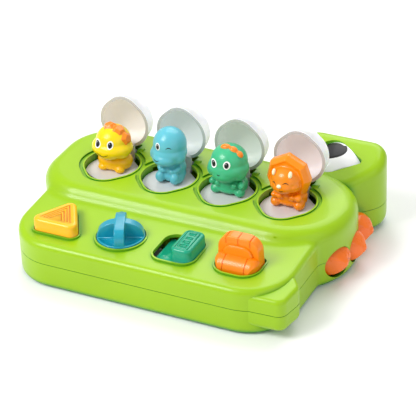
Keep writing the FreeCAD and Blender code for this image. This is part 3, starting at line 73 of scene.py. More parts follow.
class ToyColours(bpy.types.PropertyGroup):
    """Colours of the plastics and paints."""
    housing: colour("Housing", "Lime green of both shells", (150, 192, 0))
    # painted shade: this deep green is put into grooves and corners by ambient occlusion, where shade falls
    housing_painted_shade: colour("Housing, deep", "Green in the grooves and corners", (36, 142, 26))
    plate: colour("Plates", "Light grey of the flaps", (214, 213, 214))
    lid: colour("Lids", "Milky plastic of the lids", (244, 245, 246))
    # painted shade: the grey inside each lid stands in for the shade in its hollow
    lid_1: colour("First lid, inside", "Warm grey shade in the first lid", (214, 211, 206))
    lid_2: colour("Second lid, inside", "Blue grey shade in the second lid", (203, 208, 206))
    lid_3: colour("Third lid, inside", "Green grey shade in the third lid", (198, 205, 198))
    lid_4: colour("Fourth lid, inside", "Pinkish shade in the fourth lid", (211, 207, 207))
    button: colour("Button", "Yellow of the push button", (255, 186, 20))
    # painted shade: this orange is put into the bottoms of the button's lines by ambient occlusion
    button_painted_shade: colour("Button, deep", "Orange in the button's lines", (226, 112, 0))
    knob: colour("Knob", "Blue of the turn knob", (8, 150, 176))
    slider: colour("Slider", "Green of the slide button", (8, 156, 120))
    lever: colour("Lever", "Orange of the flip lever", (250, 134, 2))
    spike: colour("Spikes", "Red orange of the side spikes", (255, 116, 2))
    yellow: colour("Yellow figure", "Yellow of the first figure's head", (255, 214, 0))
    yellow_foot: colour("Yellow figure, foot", "Warmer yellow of its body", (255, 190, 0))
    blue: colour("Blue figure", "Blue of the second figure", (96, 188, 204))
    green: colour("Green figure", "Green of the third figure", (64, 184, 132))
    orange: colour("Orange figure", "Orange of the fourth figure", (252, 140, 0))
    crest: colour("Crests", "Orange of the crest plates and bumps", (247, 136, 28))
    horn: colour("Horns", "Pale cream of the horns", (255, 244, 205))
    white: colour("White", "White of the eyes", (246, 246, 246))
    black: colour("Black", "Black of pupils and mouths", (14, 12, 12))
    pupil: colour("Large pupil", "Dark grey of the housing's eye", (44, 45, 47))
    inner: colour("Inner parts", "Plain plastic of tray and latches", (225, 225, 220))
    floor: colour("Floor", "Off-white of the floor", (246, 246, 246))


class ToySizes(bpy.types.PropertyGroup):
    """Sizes of the added details."""
    figure_voxel: length("Figure detail", "Mesh size of the figures", 0.75)
    head_soften: IntProperty(name="Head softening", description="Passes that round the heads' creases",
                             default=6, min=0)
    body_soften: IntProperty(name="Body softening", description="Passes that round the bodies' creases",
                             default=4, min=0)
    eye_half: length("Eye", "Half height of a figure's eye white", 3.8)
    pupil_half: length("Pupil", "Half height of a figure's pupil", 2.75)
    mouth_line: length("Mouth line", "Width of a mouth or of a shut eye", 0.75)
    paint: length("Paint", "How far painted marks stand out", 0.12)
    groove: length("Groove depth", "Depth of the marks on the controls", 0.7)
    groove_w: length("Groove width", "Width of the marks on the controls", 1.0)


def cols():
    return bpy.context.scene.toy_colours


def sizes():
    return bpy.context.scene.toy_sizes


# ------------------------------------------------------------------ modelling helpers
BALL_RINGS = 16


def deselect():
    if bpy.context.object and bpy.context.object.mode != "OBJECT":
        bpy.ops.object.mode_set(mode="OBJECT")
    bpy.ops.object.select_all(action="DESELECT")


def only(*pieces):
    """Select these objects alone, the first one active."""
    deselect()
    for p in pieces:
        p.select_set(True)
    bpy.context.view_layer.objects.active = pieces[0]


def edit_all(piece):
    """Enter edit mode on one object, with all of it selected."""
    only(piece)
    bpy.ops.object.mode_set(mode="EDIT")
    bpy.ops.mesh.select_all(action="SELECT")


def leave_edit():
    bpy.ops.object.mode_set(mode="OBJECT")


def settle(piece, name):
    """Put the object at the origin with its place in its mesh, and name it."""
    only(piece)
    bpy.ops.object.transform_apply(location=True, rotation=True, scale=True)
    piece.name = name
    piece.data.name = name
    return piece


def radians(turn):
    return [math.radians(t) for t in turn]


def ball(at, radii, turn=(0, 0, 0)):
    """An ellipsoid in millimetres; turn is in degrees."""
    deselect()
    bpy.ops.mesh.primitive_uv_sphere_add(segments=2 * BALL_RINGS, ring_count=BALL_RINGS, radius=MM,
                                         location=Vector(at) * MM, scale=radii, rotation=radians(turn))
    return settle(bpy.context.object, "blob")


def brick(at, half, turn=(0, 0, 0), edge=0.0):
    """A box in millimetres, given by its centre and half sizes; edge bevels its edges."""
    deselect()
    bpy.ops.mesh.primitive_cube_add(size=2 * MM, location=Vector(at) * MM, scale=half, rotation=radians(turn))
    piece = settle(bpy.context.object, "brick")
    if edge:
        finish_with(piece, "BEVEL", width=edge * MM, segments=3, limit_method="ANGLE")
    return piece


def drum(at, r, deep, turn=(0, 0, 0), sides=48, top_r=None):
    """A cylinder in millimetres along its own Z, or a cone if its top has another radius."""
    top_r = r if top_r is None else top_r
    deselect()
    bpy.ops.mesh.primitive_cone_add(vertices=sides, radius1=r * MM, radius2=top_r * MM, depth=deep * MM,
                                    location=Vector(at) * MM, rotation=radians(turn))
    return settle(bpy.context.object, "drum")


def finish_with(piece, kind, **values):
    """Add one modifier, set it up and apply it."""
    only(piece)
    mod = piece.modifiers.new(kind, kind)
    for key, value in values.items():
        setattr(mod, key, value)
    bpy.ops.object.modifier_apply(modifier=mod.name)
    return piece


def join(pieces, name):
    only(*pieces)
    if len(pieces) > 1:
        bpy.ops.object.join()
    return settle(bpy.context.object, name)


def moulded(blobs, name, voxel, soften):
    """One smooth skin over overlapping forms."""
    piece = join(blobs, name)
    finish_with(piece, "REMESH", mode="VOXEL", voxel_size=voxel * MM, use_smooth_shade=True)
    finish_with(piece, "SMOOTH", factor=0.5, iterations=soften)
    shade(piece)
    return piece


def shade(piece, angle=None):
    only(piece)
    if angle is None:
        bpy.ops.object.shade_smooth()
    else:
        bpy.ops.object.shade_smooth_by_angle(angle=math.radians(angle))


def cut(piece, cutters):
    """Cut these forms out of the piece, and drop them."""
    tool = join(cutters, "cutter")
    finish_with(piece, "BOOLEAN", operation="DIFFERENCE", object=tool, solver="EXACT", use_self=True)
    bpy.data.objects.remove(tool)
    return piece


def tidy_mesh(piece):
    """Merge doubles and turn all faces outwards."""
    edit_all(piece)
    bpy.ops.mesh.remove_doubles(threshold=0.01 * MM)
    bpy.ops.mesh.normals_make_consistent(inside=False)
    leave_edit()


def copy_of(node, name):
    """A free copy of a frame node's mesh, merged into closed skins."""
    source = NODES[node]
    piece = bpy.data.objects.new(name, source.data.copy())
    bpy.context.scene.collection.objects.link(piece)
    piece.data.name = name
    piece.data.materials.clear()
    tidy_mesh(piece)
    return piece


def place(piece, body, material):
    """Give a piece its body and its finish."""
    piece.data.materials.clear()
    piece.data.materials.append(material)
    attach(piece, body)
    return piece


def dress(node, material):
    """Give a frame node another finish."""
    mesh = NODES[node].data
    if len(mesh.materials) == 0:
        mesh.materials.append(material)
    for i in range(len(mesh.materials)):
        mesh.materials[i] = material


# ------------------------------------------------------------------ finishes
# noise scales of the flow marks, of the uneven sheen and of the fine grain
FLOW, SHEEN, GRAIN = 28.0, 90.0, 1400.0
# the deep colour is painted shade: full below the first share of open sky, and gone above the second
PAINTED_SHADE_FROM, PAINTED_SHADE_TO = 0.35, 0.95


def wire(mat, a, out, b, into):
    mat.node_tree.links.new(a.outputs[out], b.inputs[into])


def noise(mat, coords, scale, detail):
    node = mat.node_tree.nodes.new("ShaderNodeTexNoise")
    node.inputs["Scale"].default_value = scale
    node.inputs["Detail"].default_value = detail
    wire(mat, coords, "Object", node, "Vector")
    return node


def blend(mat, factor, dark, light):
    """A colour between two, by a factor output."""
    node = mat.node_tree.nodes.new("ShaderNodeMix")
    node.data_type = "RGBA"
    node.inputs[6].default_value = (*dark, 1.0)
    node.inputs[7].default_value = (*light, 1.0)
    mat.node_tree.links.new(factor, node.inputs[0])
    return node


def span(mat, factor, low, high):
    """Carry a factor of 0 to 1 over to low to high."""
    node = mat.node_tree.nodes.new("ShaderNodeMapRange")
    node.inputs["To Min"].default_value = low
    node.inputs["To Max"].default_value = high
    mat.node_tree.links.new(factor, node.inputs["Value"])
    return node


def fade(mat, coords, axis, start, end):
    """0 to 1 as the object's own x, y or z runs from start to end, in millimetres."""
    split = mat.node_tree.nodes.new("ShaderNodeSeparateXYZ")
    wire(mat, coords, "Object", split, "Vector")
    node = mat.node_tree.nodes.new("ShaderNodeMapRange")
    node.inputs["From Min"].default_value = start * MM
    node.inputs["From Max"].default_value = end * MM
    wire(mat, split, axis, node, "Value")
    return node


def paint_hollow_shade(mat, open_tone, deep, reach):
    """Paint shade: a deep colour in grooves and corners within reach, in millimetres, where ambient occlusion
    finds little open sky.
    """
    tree = mat.node_tree
    near = tree.nodes.new("ShaderNodeAmbientOcclusion")
    near.samples = 8
    near.inputs["Distance"].default_value = reach * MM
    curve = tree.nodes.new("ShaderNodeMapRange")
    curve.inputs["From Min"].default_value = PAINTED_SHADE_FROM
    curve.inputs["From Max"].default_value = PAINTED_SHADE_TO
    tree.links.new(near.outputs["AO"], curve.inputs["Value"])
    mixed = tree.nodes.new("ShaderNodeMix")
    mixed.data_type = "RGBA"
    mixed.inputs[6].default_value = (*deep, 1.0)
    tree.links.new(curve.outputs["Result"], mixed.inputs[0])
    tree.links.new(open_tone, mixed.inputs[7])
    return mixed.outputs[2]


def plastic(name, rgb, rough=0.32, scatter=0.12, coat=0.25, deep=None, reach=0.0, spread=0.05, grain=0.06):
    """Moulded plastic: faint flow marks, an uneven sheen and a fine grain.

    deep is a painted shade: the colour that ambient occlusion puts in grooves and corners within reach.
    """
    found = bpy.data.materials.get(name)
    if found:
        return found
    mat = bpy.data.materials.new(name)
    mat.use_nodes = True
    tree = mat.node_tree
    shader = tree.nodes["Principled BSDF"]
    coords = tree.nodes.new("ShaderNodeTexCoord")
    flow = noise(mat, coords, FLOW, 2.0)
    dark = tuple(c * (1 - spread) for c in rgb)
    light = tuple(min(1.0, c * (1 + spread)) for c in rgb)
    tone = blend(mat, flow.outputs["Fac"], dark, light)
    last = tone.outputs[2]
    # painted shade in grooves and corners, from ambient occlusion
    if deep:
        last = paint_hollow_shade(mat, last, deep, reach)
    tree.links.new(last, shader.inputs["Base Color"])
    handled = noise(mat, coords, SHEEN, 4.0)
    sheen = span(mat, handled.outputs["Fac"], rough - 0.06, rough + 0.07)
    tree.links.new(sheen.outputs["Result"], shader.inputs["Roughness"])
    skin = noise(mat, coords, GRAIN, 2.0)
    bump = tree.nodes.new("ShaderNodeBump")
    bump.inputs["Strength"].default_value = grain
    bump.inputs["Distance"].default_value = 0.2 * MM
    tree.links.new(skin.outputs["Fac"], bump.inputs["Height"])
    tree.links.new(bump.outputs["Normal"], shader.inputs["Normal"])
    shader.inputs["Subsurface Weight"].default_value = scatter
    shader.inputs["Subsurface Radius"].default_value = (1.0, 0.8, 0.4)
    shader.inputs["Subsurface Scale"].default_value = 3 * MM
    shader.inputs["Coat Weight"].default_value = coat
    shader.inputs["Coat Roughness"].default_value = 0.12
    shader.inputs["IOR"].default_value = 1.5
    shader.inputs["Specular IOR Level"].default_value = 0.35
    return mat


def faded(name, near, far, axis, start, end):
    """Paint that runs from one colour to another along X, Y or Z."""
    found = bpy.data.materials.get(name)
    if found:
        return found
    mat = paint(name, near)
    tree = mat.node_tree
    coords = tree.nodes.new("ShaderNodeTexCoord")
    run = fade(mat, coords, axis, start, end)
    tone = blend(mat, run.outputs["Result"], near, far)
    tree.links.new(tone.outputs[2], tree.nodes["Principled BSDF"].inputs["Base Color"])
    return mat


def paint_glow(mat, rgb, strength):
    """Painted glow: emission that stands in for the light that milky plastic passes on from behind."""
    shader = mat.node_tree.nodes["Principled BSDF"]
    shader.inputs["Emission Color"].default_value = (*rgb, 1.0)
    shader.inputs["Emission Strength"].default_value = strength


def steel(name):
    """Drawn steel with fine lines along X."""
    found = bpy.data.materials.get(name)
    if found:
        return found
    mat = bpy.data.materials.new(name)
    mat.use_nodes = True
    tree = mat.node_tree
    shader = tree.nodes["Principled BSDF"]
    coords = tree.nodes.new("ShaderNodeTexCoord")
    lines = tree.nodes.new("ShaderNodeMapping")
    lines.inputs["Scale"].default_value = (40.0, 3000.0, 3000.0)
    wire(mat, coords, "Object", lines, "Vector")
    scratch = tree.nodes.new("ShaderNodeTexNoise")
    scratch.inputs["Scale"].default_value = 1.0
    wire(mat, lines, "Vector", scratch, "Vector")
    tone = blend(mat, scratch.outputs["Fac"], (0.42, 0.43, 0.45), (0.66, 0.67, 0.69))
    tree.links.new(tone.outputs[2], shader.inputs["Base Color"])
    sheen = span(mat, scratch.outputs["Fac"], 0.22, 0.42)
    tree.links.new(sheen.outputs["Result"], shader.inputs["Roughness"])
    shader.inputs["Metallic"].default_value = 1.0
    return mat


def paint(name, rgb):
    return plastic(name, rgb, rough=0.45, scatter=0.0, coat=0.1, spread=0.02, grain=0.02)


# ------------------------------------------------------------------ painted marks
# marks start as flat faces this far in front of or above the toy
START_Y, START_Z = -60.0, 200.0
# inner rings of a round mark, which let it bend with the form
MARK_RINGS, RING_STEP = 5, 0.16
PAINT_BODY = 0.5


def mark(target, at, half, name, lift, down=False):
    """A thin painted spot pressed onto a form, from the front or down from above.

    at and half are x, z in millimetres, or x, y when it is pressed down.
    """
    middle = (at[0] * MM, at[1] * MM, START_Z * MM) if down else (at[0] * MM, START_Y * MM, at[1] * MM)
    deselect()
    bpy.ops.mesh.primitive_circle_add(vertices=40, radius=MM, fill_type="NGON", location=middle,
                                      rotation=radians((0 if down else 90, 0, 0)))
    spot = bpy.context.object
    edit_all(spot)
    for _ in range(MARK_RINGS):
        bpy.ops.mesh.inset(thickness=RING_STEP * MM)
    leave_edit()
    spot.scale = (half[0], half[1], 1.0)
    settle(spot, name)
    return press_on(spot, target, lift, down)


def arc_mark(target, at, half, rise, name, lift):
    """A thin painted arc that narrows to its ends: half is its half length, rise lifts its ends."""
    width = sizes().mouth_line
    deselect()
    bpy.ops.mesh.primitive_grid_add(x_subdivisions=14, y_subdivisions=3, size=2 * MM,
                                    location=(at[0] * MM, START_Y * MM, at[1] * MM), rotation=radians((90, 0, 0)))
    arc = bpy.context.object
    arc.scale = (half, width / 2.0, 1.0)
    settle(arc, name)
    for v in arc.data.vertices:
        t = (v.co.x / MM - at[0]) / half
        v.co.z = at[1] * MM + (v.co.z - at[1] * MM) * (1.05 - 0.55 * t * t) + rise * t * t * MM
    return press_on(arc, target, lift)


def press_on(spot, target, lift, down=False):
    """Lay a flat mark on a form, drop what misses it and give the rest a little body."""
    axis = 2 if down else 1
    level = spot.data.vertices[0].co[axis]
    finish_with(spot, "SHRINKWRAP", target=target, wrap_method="PROJECT", use_project_x=False,
                use_project_y=not down, use_project_z=down, use_positive_direction=True,
                use_negative_direction=True, offset=lift * MM)
    only(spot)
    bpy.ops.object.mode_set(mode="EDIT")
    bpy.ops.mesh.select_all(action="DESELECT")
    leave_edit()
    for v in spot.data.vertices:
        v.select = abs(v.co[axis] - level) < 0.1 * MM
    bpy.ops.object.mode_set(mode="EDIT")
    bpy.ops.mesh.delete(type="VERT")
    leave_edit()
    finish_with(spot, "SOLIDIFY", thickness=PAINT_BODY * MM, offset=-1.0)
    tidy_mesh(spot)
    shade(spot, 40)
    return spot


# ------------------------------------------------------------------ figures
FIGURE_FOOT = [(x, 8.0, 53.5) for x in (-90.0, -30.0, 30.0, 90.0)]
CREST_VOXEL = 0.42
HORN_VOXEL = 0.35


def on_foot(index, blobs):
    """Ellipsoids given from a figure's foot centre, as (at, radii) or (at, radii, turn)."""
    foot = Vector(FIGURE_FOOT[index])
    made = []
    for blob in blobs:
        turn = blob[2] if len(blob) > 2 else (0, 0, 0)
        made.append(ball(foot + Vector(blob[0]), blob[1], turn))
    return made


def both(at, radii, turn=(0, 0, 0), shift=0.0):
    """The same ellipsoid on the left and on the right of the middle, or of shift."""
    x, y, z = at
    return [((shift - x, y, z), radii, (turn[0], -turn[1], -turn[2])), ((shift + x, y, z), radii, turn)]


def open_eye(index, target, side, up, body, tag, wide=0.78, scale=1.0, pupil_wide=0.72):
    """White, black pupil and a small painted highlight."""
    s, c = sizes(), cols()
    x0, _, z0 = FIGURE_FOOT[index]
    at = (x0 + side, z0 + up)
    white = mark(target, at, (s.eye_half * wide * scale, s.eye_half * scale), "eye_white_" + tag, s.paint)
    place(white, body, paint("eye paint white", tuple(c.white)))
    half = (s.pupil_half * pupil_wide * scale, s.pupil_half * scale)
    pupil = mark(target, (at[0], at[1] - 0.1), half, "eye_pupil_" + tag, 2 * s.paint)
    place(pupil, body, paint("eye paint black", tuple(c.black)))
    # painted highlight: a white dot that stands in for the pupil's reflection
    painted_glint = mark(target, (at[0] - 0.5, at[1] + 1.2), (0.3, 0.34), "eye_painted_glint_" + tag, 3 * s.paint)
    place(painted_glint, body, paint("eye paint white", tuple(c.white)))


def line_mark(index, target, side, up, half, rise, body, tag):
    """A black painted line: a mouth or a shut eye."""
    x0, _, z0 = FIGURE_FOOT[index]
    arc = arc_mark(target, (x0 + side, z0 + up), half, rise, tag, 1.5 * sizes().paint)
    place(arc, body, paint("eye paint black", tuple(cols().black)))


class TOY_OT_yellow_figure(bpy.types.Operator):
    """Round-cheeked yellow figure with three crest plates."""
    bl_idname = "toy.yellow_figure"
    bl_label = "Yellow figure"

    def execute(self, context):
        s, c = sizes(), cols()
        body = "flap_body_1"
        head = [((-1.2, 0.5, 28.5), (16.8, 16.5, 15.0)), ((-1.3, -2.0, 23), (20.2, 17.2, 10.5)),
                ((-1.5, -7.5, 20.5), (13.0, 11.5, 8.0))]
        head += both((11.0, -5.0, 21.5), (8.2, 8.4, 7.6), shift=-1.5)
        foot = [((-0.8, 1.0, 7.5), (17.6, 13.5, 8.8)), ((-0.8, 0.5, 4.6), (17.2, 13.0, 6.0))]
        foot += both((8.8, -9.4, 3.0), (5.0, 4.0, 3.4))
        skin = moulded(on_foot(0, head), "yellow_head", s.figure_voxel, s.head_soften)
        base = moulded(on_foot(0, foot), "yellow_base", s.figure_voxel, s.head_soften)
        flatten_foot(base, 0)
        place(skin, body, plastic("yellow figure plastic", tuple(c.yellow), scatter=0.2))
        place(base, body, plastic("yellow foot plastic", tuple(c.yellow_foot), scatter=0.2))
        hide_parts("yellow_dino")
        spots = (((-4.4, 0.3, 43.2), (-0.17, -0.10, 0.98)), ((6.5, -0.8, 41.8), (0.42, -0.14, 0.90)),
                 ((14.4, -1.4, 33.6), (0.93, -0.16, 0.32)))
        spikes = crest(0, spots, 7.4, 3.4, "yellow_crest")
        place(spikes, body, plastic("crest plastic", tuple(c.crest), scatter=0.15))
        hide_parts("yellow_dino_crest")
        open_eye(0, skin, -10.2, 30.1, body, "yellow_left", 0.98, 1.0, 0.95)
        open_eye(0, skin, 3.6, 31.2, body, "yellow_right")
        line_mark(0, skin, -3.6, 19.6, 6.0, 2.4, body, "yellow_mouth")
        return {"FINISHED"}


def crest(index, spots, wide, tall, name):
    """Five-sided plates in a row over a head, in one piece.

    Each spot is a place from the foot and the way that the plate faces. 1.4 mm of each
    plate lie in the head.
    """
    foot = Vector(FIGURE_FOOT[index])
    blobs = []
    for at, way in spots:
        way = Vector(way).normalized()
        turn = [math.degrees(a) for a in way.to_track_quat("Z", "Y").to_euler()]
        middle = foot + Vector(at) + way * (tall * 0.5 - 1.4)
        blobs.append(drum(middle, wide, tall, turn, sides=5, top_r=wide * 0.55))
    return moulded(blobs, name, CREST_VOXEL, 4)


def flatten_foot(piece, index):
    """Cut a figure level at its foot."""
    level = FIGURE_FOOT[index][2] * MM
    edit_all(piece)
    bpy.ops.mesh.bisect(plane_co=(0, 0, level), plane_no=(0, 0, 1), clear_inner=True, use_fill=True)
    leave_edit()


class TOY_OT_blue_figure(bpy.types.Operator):
    """Blue figure with a tall domed head and a snout."""
    bl_idname = "toy.blue_figure"
    bl_label = "Blue figure"

    def execute(self, context):
        s, c = sizes(), cols()
        body = "flap_body_2"
        head = [((-1.6, 1.0, 36.5), (15.8, 16.0, 16.5)), ((-1.8, -0.5, 29.5), (17.0, 16.2, 11.5)),
                ((-2.4, -8.0, 26.0), (12.5, 11.0, 7.6))]
        head += both((10.0, -3.5, 27.0), (7.6, 8.0, 7.2), shift=-2.0)
        trunk = [((0, 2, 12.0), (12.6, 12.0, 11.0)), ((0, 1, 6.5), (12.8, 12.0, 8.0))]
        trunk += both((7.4, -10.4, 6.4), (4.8, 4.8, 5.6)) + both((9.2, -4.0, 4.6), (4.2, 8.0, 4.4))
        trunk += both((8.6, -6.5, 14.5), (3.2, 5.2, 3.0), (20, 0, -30))
        trunk += both((4.3, -10.6, 13.8), (3.2, 2.2, 2.3))
        skin = moulded(on_foot(1, head), "blue_head", s.figure_voxel, s.head_soften)
        base = moulded(on_foot(1, trunk), "blue_base", s.figure_voxel, s.body_soften)
        flatten_foot(base, 1)
        finish = plastic("blue figure plastic", tuple(c.blue), scatter=0.2)
        place(skin, body, finish)
        place(base, body, finish)
        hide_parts("blue_dino")
        open_eye(1, skin, -6.9, 39.6, body, "blue_left", 0.76, 0.92)
        line_mark(1, skin, 4.2, 40.2, 2.5, -1.5, body, "blue_wink")
        line_mark(1, skin, -7.2, 26.6, 3.2, 1.2, body, "blue_mouth")
        return {"FINISHED"}


class TOY_OT_green_figure(bpy.types.Operator):
    """Green figure with three small crest bumps."""
    bl_idname = "toy.green_figure"
    bl_label = "Green figure"

    def execute(self, context):
        s, c = sizes(), cols()
        body = "flap_body_3"
        head = [((-1.0, 1.0, 32.5), (17.2, 17.0, 15.2)), ((-1.1, -1.0, 26.5), (19.6, 17.2, 11.2)),
                ((-1.3, -7.0, 23.0), (13.0, 12.0, 8.8))]
        head += both((11.2, -4.0, 24.0), (8.2, 8.4, 8.0), shift=-1.2)
        trunk = [((-0.8, 1.5, 9.5), (17.0, 13.0, 9.0)), ((-0.8, 1.0, 6.0), (17.0, 13.0, 6.5))]
        trunk += both((12.0, -6.6, 4.4), (5.0, 5.2, 4.4)) + both((8.0, -10.8, 12.2), (2.9, 1.9, 2.9))
        trunk += both((13.2, -5.0, 12.0), (3.8, 6.4, 4.0), (0, 0, 30))
        skin = moulded(on_foot(2, head), "green_head", s.figure_voxel, s.head_soften)
        base = moulded(on_foot(2, trunk), "green_base", s.figure_voxel, s.body_soften)
        flatten_foot(base, 2)
        finish = plastic("green figure plastic", tuple(c.green), scatter=0.2)
        place(skin, body, finish)
        place(base, body, finish)
        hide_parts("green_dino")
        crown = [((-3.1, -1.5, 46.6), (5.0, 3.6, 2.9), (0, -10, 0)),
                 ((5.2, -2.0, 45.6), (4.3, 3.4, 2.8), (0, 24, 0)),
                 ((11.2, -2.0, 42.0), (3.7, 3.2, 2.7), (0, 45, 0))]
        bumps = moulded(on_foot(2, crown), "green_crest", CREST_VOXEL, 3)
        place(bumps, body, plastic("crest plastic", tuple(c.crest), scatter=0.15))
        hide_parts("green_dino_crest")
        open_eye(2, skin, -10.1, 34.4, body, "green_left", 1.02, 1.0, 0.95)
        open_eye(2, skin, 3.7, 35.4, body, "green_right", 0.86)
        line_mark(2, skin, -3.3, 25.4, 1.6, 0.5, body, "green_mouth")
        return {"FINISHED"}


# corners of the frill's outline, clockwise from the top: x and z from the figure's foot
FRILL = ((-2.4, 50.6), (14.6, 42.0), (19.5, 27.0), (14.2, 12.0), (-1.5, 8.5), (-17.5, 12.5), (-23.0, 25.0),
         (-19.4, 41.4))
FRILL_MIDDLE = (-2.0, 29.0)
FRILL_BACK = 6.0
# steps of its skin towards the front: how far, and how much it draws in
FRILL_STEPS = ((6.0, (1.0, 1.0, 1.0)), (5.5, (0.84, 1.0, 0.86)), (-1.5, (0.8, 1.0, 0.82)),
               (1.0, (0.3, 1.0, 0.3)))


def make_frill(x0, y0, z0):
    """Broad eight-sided hood: flat at the back, drawn in to an upright oval at the front."""
    deselect()
    bpy.ops.mesh.primitive_circle_add(vertices=len(FRILL), radius=MM, fill_type="NGON",
                                      rotation=radians((90, 0, 0)))
    frill = settle(bpy.context.object, "frill")
    for v, (x, z) in zip(frill.data.vertices, FRILL):
        v.co = Vector((x0 + x, y0 + FRILL_BACK, z0 + z)) * MM
    middle = Vector((x0 + FRILL_MIDDLE[0], y0, z0 + FRILL_MIDDLE[1])) * MM
    edit_all(frill)
    for forward, squeeze in FRILL_STEPS:
        bpy.ops.mesh.extrude_region_move(TRANSFORM_OT_translate={"value": (0, -forward * MM, 0)})
        bpy.ops.transform.resize(value=squeeze, center_override=middle)
    bpy.ops.mesh.select_all(action="SELECT")
    bpy.ops.mesh.normals_make_consistent(inside=False)
    leave_edit()
    return frill


class TOY_OT_horned_figure(bpy.types.Operator):
    """Orange figure with a facetted hood and pale horns."""
    bl_idname = "toy.horned_figure"
    bl_label = "Horned figure"

    def execute(self, context):
        s, c = sizes(), cols()
        body = "flap_body_4"
        frill = make_frill(*FIGURE_FOOT[3])
        head = [((-2.0, -1.5, 28), (14.6, 14.5, 12.6)), ((-2.6, -8.5, 23.6), (10.8, 10.0, 7.8))]
        head += both((8.0, -6.0, 23.5), (6.6, 7.2, 6.6), shift=-2.4)
        skin = moulded(on_foot(3, head) + [frill], "horned_head", s.figure_voxel, 3)
        trunk = [((0, 1.5, 9.5), (15.8, 11.5, 9.0)), ((0, 1.0, 6.0), (15.8, 11.5, 6.5))]
        trunk += both((11.4, -6.0, 4.6), (5.2, 6.4, 5.0))
        trunk += both((10.5, -7.0, 12.4), (3.8, 5.8, 3.6), (0, 0, 35))
        trunk += both((6.0, -10.6, 12.6), (3.0, 2.4, 2.8))
        base = moulded(on_foot(3, trunk), "horned_base", s.figure_voxel, s.body_soften)
        flatten_foot(base, 3)
        finish = plastic("orange figure plastic", tuple(c.orange), scatter=0.05, coat=0.4)
        place(skin, body, finish)
        place(base, body, finish)
        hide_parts("horned_dino")
        pale = plastic("horn plastic", tuple(c.horn), scatter=0.1)
        points = [((-11.6, -10.0, 36.3), (1.6, 2.2, 3.2), (-25, 0, 0)),
                  ((5.0, -11.2, 37.2), (1.8, 2.4, 3.3), (-25, 0, 0)), ((-3.4, -18.0, 26.9), (2.2, 1.7, 1.7))]
        horns = moulded(on_foot(3, points), "horns", HORN_VOXEL, 2)
        place(horns, body, pale)
        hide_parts("dino_horns")
        line_mark(3, skin, -9.6, 28.2, 2.6, -1.5, body, "horned_eye_left")
        line_mark(3, skin, 2.0, 30.0, 2.6, -1.5, body, "horned_eye_right")
        line_mark(3, skin, -1.4, 22.2, 1.8, 0.8, body, "horned_mouth")
        return {"FINISHED"}


# ------------------------------------------------------------------ controls
# the button's spring is drawn shorter by its stroke and a little room
STROKE = 5.2
# nested arrow lines on the button: the first tip and the ends of all, along Y
ARROWS = 4
ARROW_TIP = -80.0
ARROW_LOW = -106.0
ARROW_STEP = 5.0
ARROW_W = 0.8
ARROW_DEEP = 0.9
ARROW_SLANT = 30
# three-sided plug that levels the button's own shallow lines: its middle along Y, radius and height
PLUG_Y = -96.5
PLUG_R = 16.0
PLUG_H = 0.8
PLUG_UNDER = 0.02           # its top lies this far under the button's
# knob: its middle and the height from its floor to its top
KNOB_AT = (-32.25, -92.0)
KNOB_H = 13.4
# the drum that clears its floor: radius, height, and how far its middle is over the floor
CLEAR_R, CLEAR_H, CLEAR_UP = 20.6, 40.0, 20.9
# the two arches of its cross: radius, heights, widths and turns
CROSS_R = 21.2
CROSS_H = (15.4, 15.8)
CROSS_W = (8.6, 9.2)
CROSS_POWER = (2.2, 3.6)    # how square the outline of each arch is
CROSS_TURN = (24.0, 114.0)
# slide button: the middle of its handle, and half sizes of the frame and of the marks in it
HANDLE_AT = (35.15, -92.0)
FRAME_HALF = (6.6, 14.8)
FRAME_ROUND = 0.6
SLIDE_MARKS = 4
SLIDE_MARK_STEP = 6.4
SLIDE_MARK_HALF = (3.4, 2.1)
SLIDE_MARK_LINE = 0.8       # width of their lines, as a share of the frame's


class TOY_OT_button(bpy.types.Operator):
    """Yellow push button with nested arrow lines, over a spring with room for the stroke."""
    bl_idname = "toy.button"
    bl_label = "Push button"

    def execute(self, context):
        piece = copy_of("push_button", "lined_button")
        lo, hi = (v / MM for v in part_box("push_button"))
        x, tip = (lo.x + hi.x) / 2, ARROW_TIP
        plug = drum((x, PLUG_Y, hi.z - PLUG_UNDER - PLUG_H / 2), PLUG_R, PLUG_H, sides=3)
        finish_with(piece, "BOOLEAN", operation="UNION", object=plug, solver="EXACT")
        bpy.data.objects.remove(plug)
        cutters = []
        for _ in range(ARROWS):
            reach = (tip - ARROW_LOW) / math.cos(math.radians(ARROW_SLANT))
            for side in (-1, 1):
                at = (x + side * reach / 2 * math.sin(math.radians(ARROW_SLANT)), (tip + ARROW_LOW) / 2, hi.z)
                cutters.append(brick(at, (ARROW_W / 2, reach / 2, ARROW_DEEP), (0, 0, side * ARROW_SLANT)))
            tip -= ARROW_STEP
        cut(piece, cutters)
        shade(piece, 35)
        # the button's lines get painted shade of the deeper orange at their bottoms
        finish = plastic("button plastic", tuple(cols().button), scatter=0.1, deep=tuple(cols().button_painted_shade),
                         reach=1.2)
        place(piece, "button_body", finish)
        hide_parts("push_button")
        coil = copy_of("button_spring", "short_coil")
        lo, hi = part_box("button_spring")
        tall = hi.z - lo.z
        edit_all(coil)
        bpy.ops.transform.resize(value=(1.0, 1.0, (tall - STROKE * MM) / tall), center_override=lo)
        leave_edit()
        shade(coil)
        place(coil, "housing", steel("drawn steel"))
        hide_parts("button_spring")
        return {"FINISHED"}


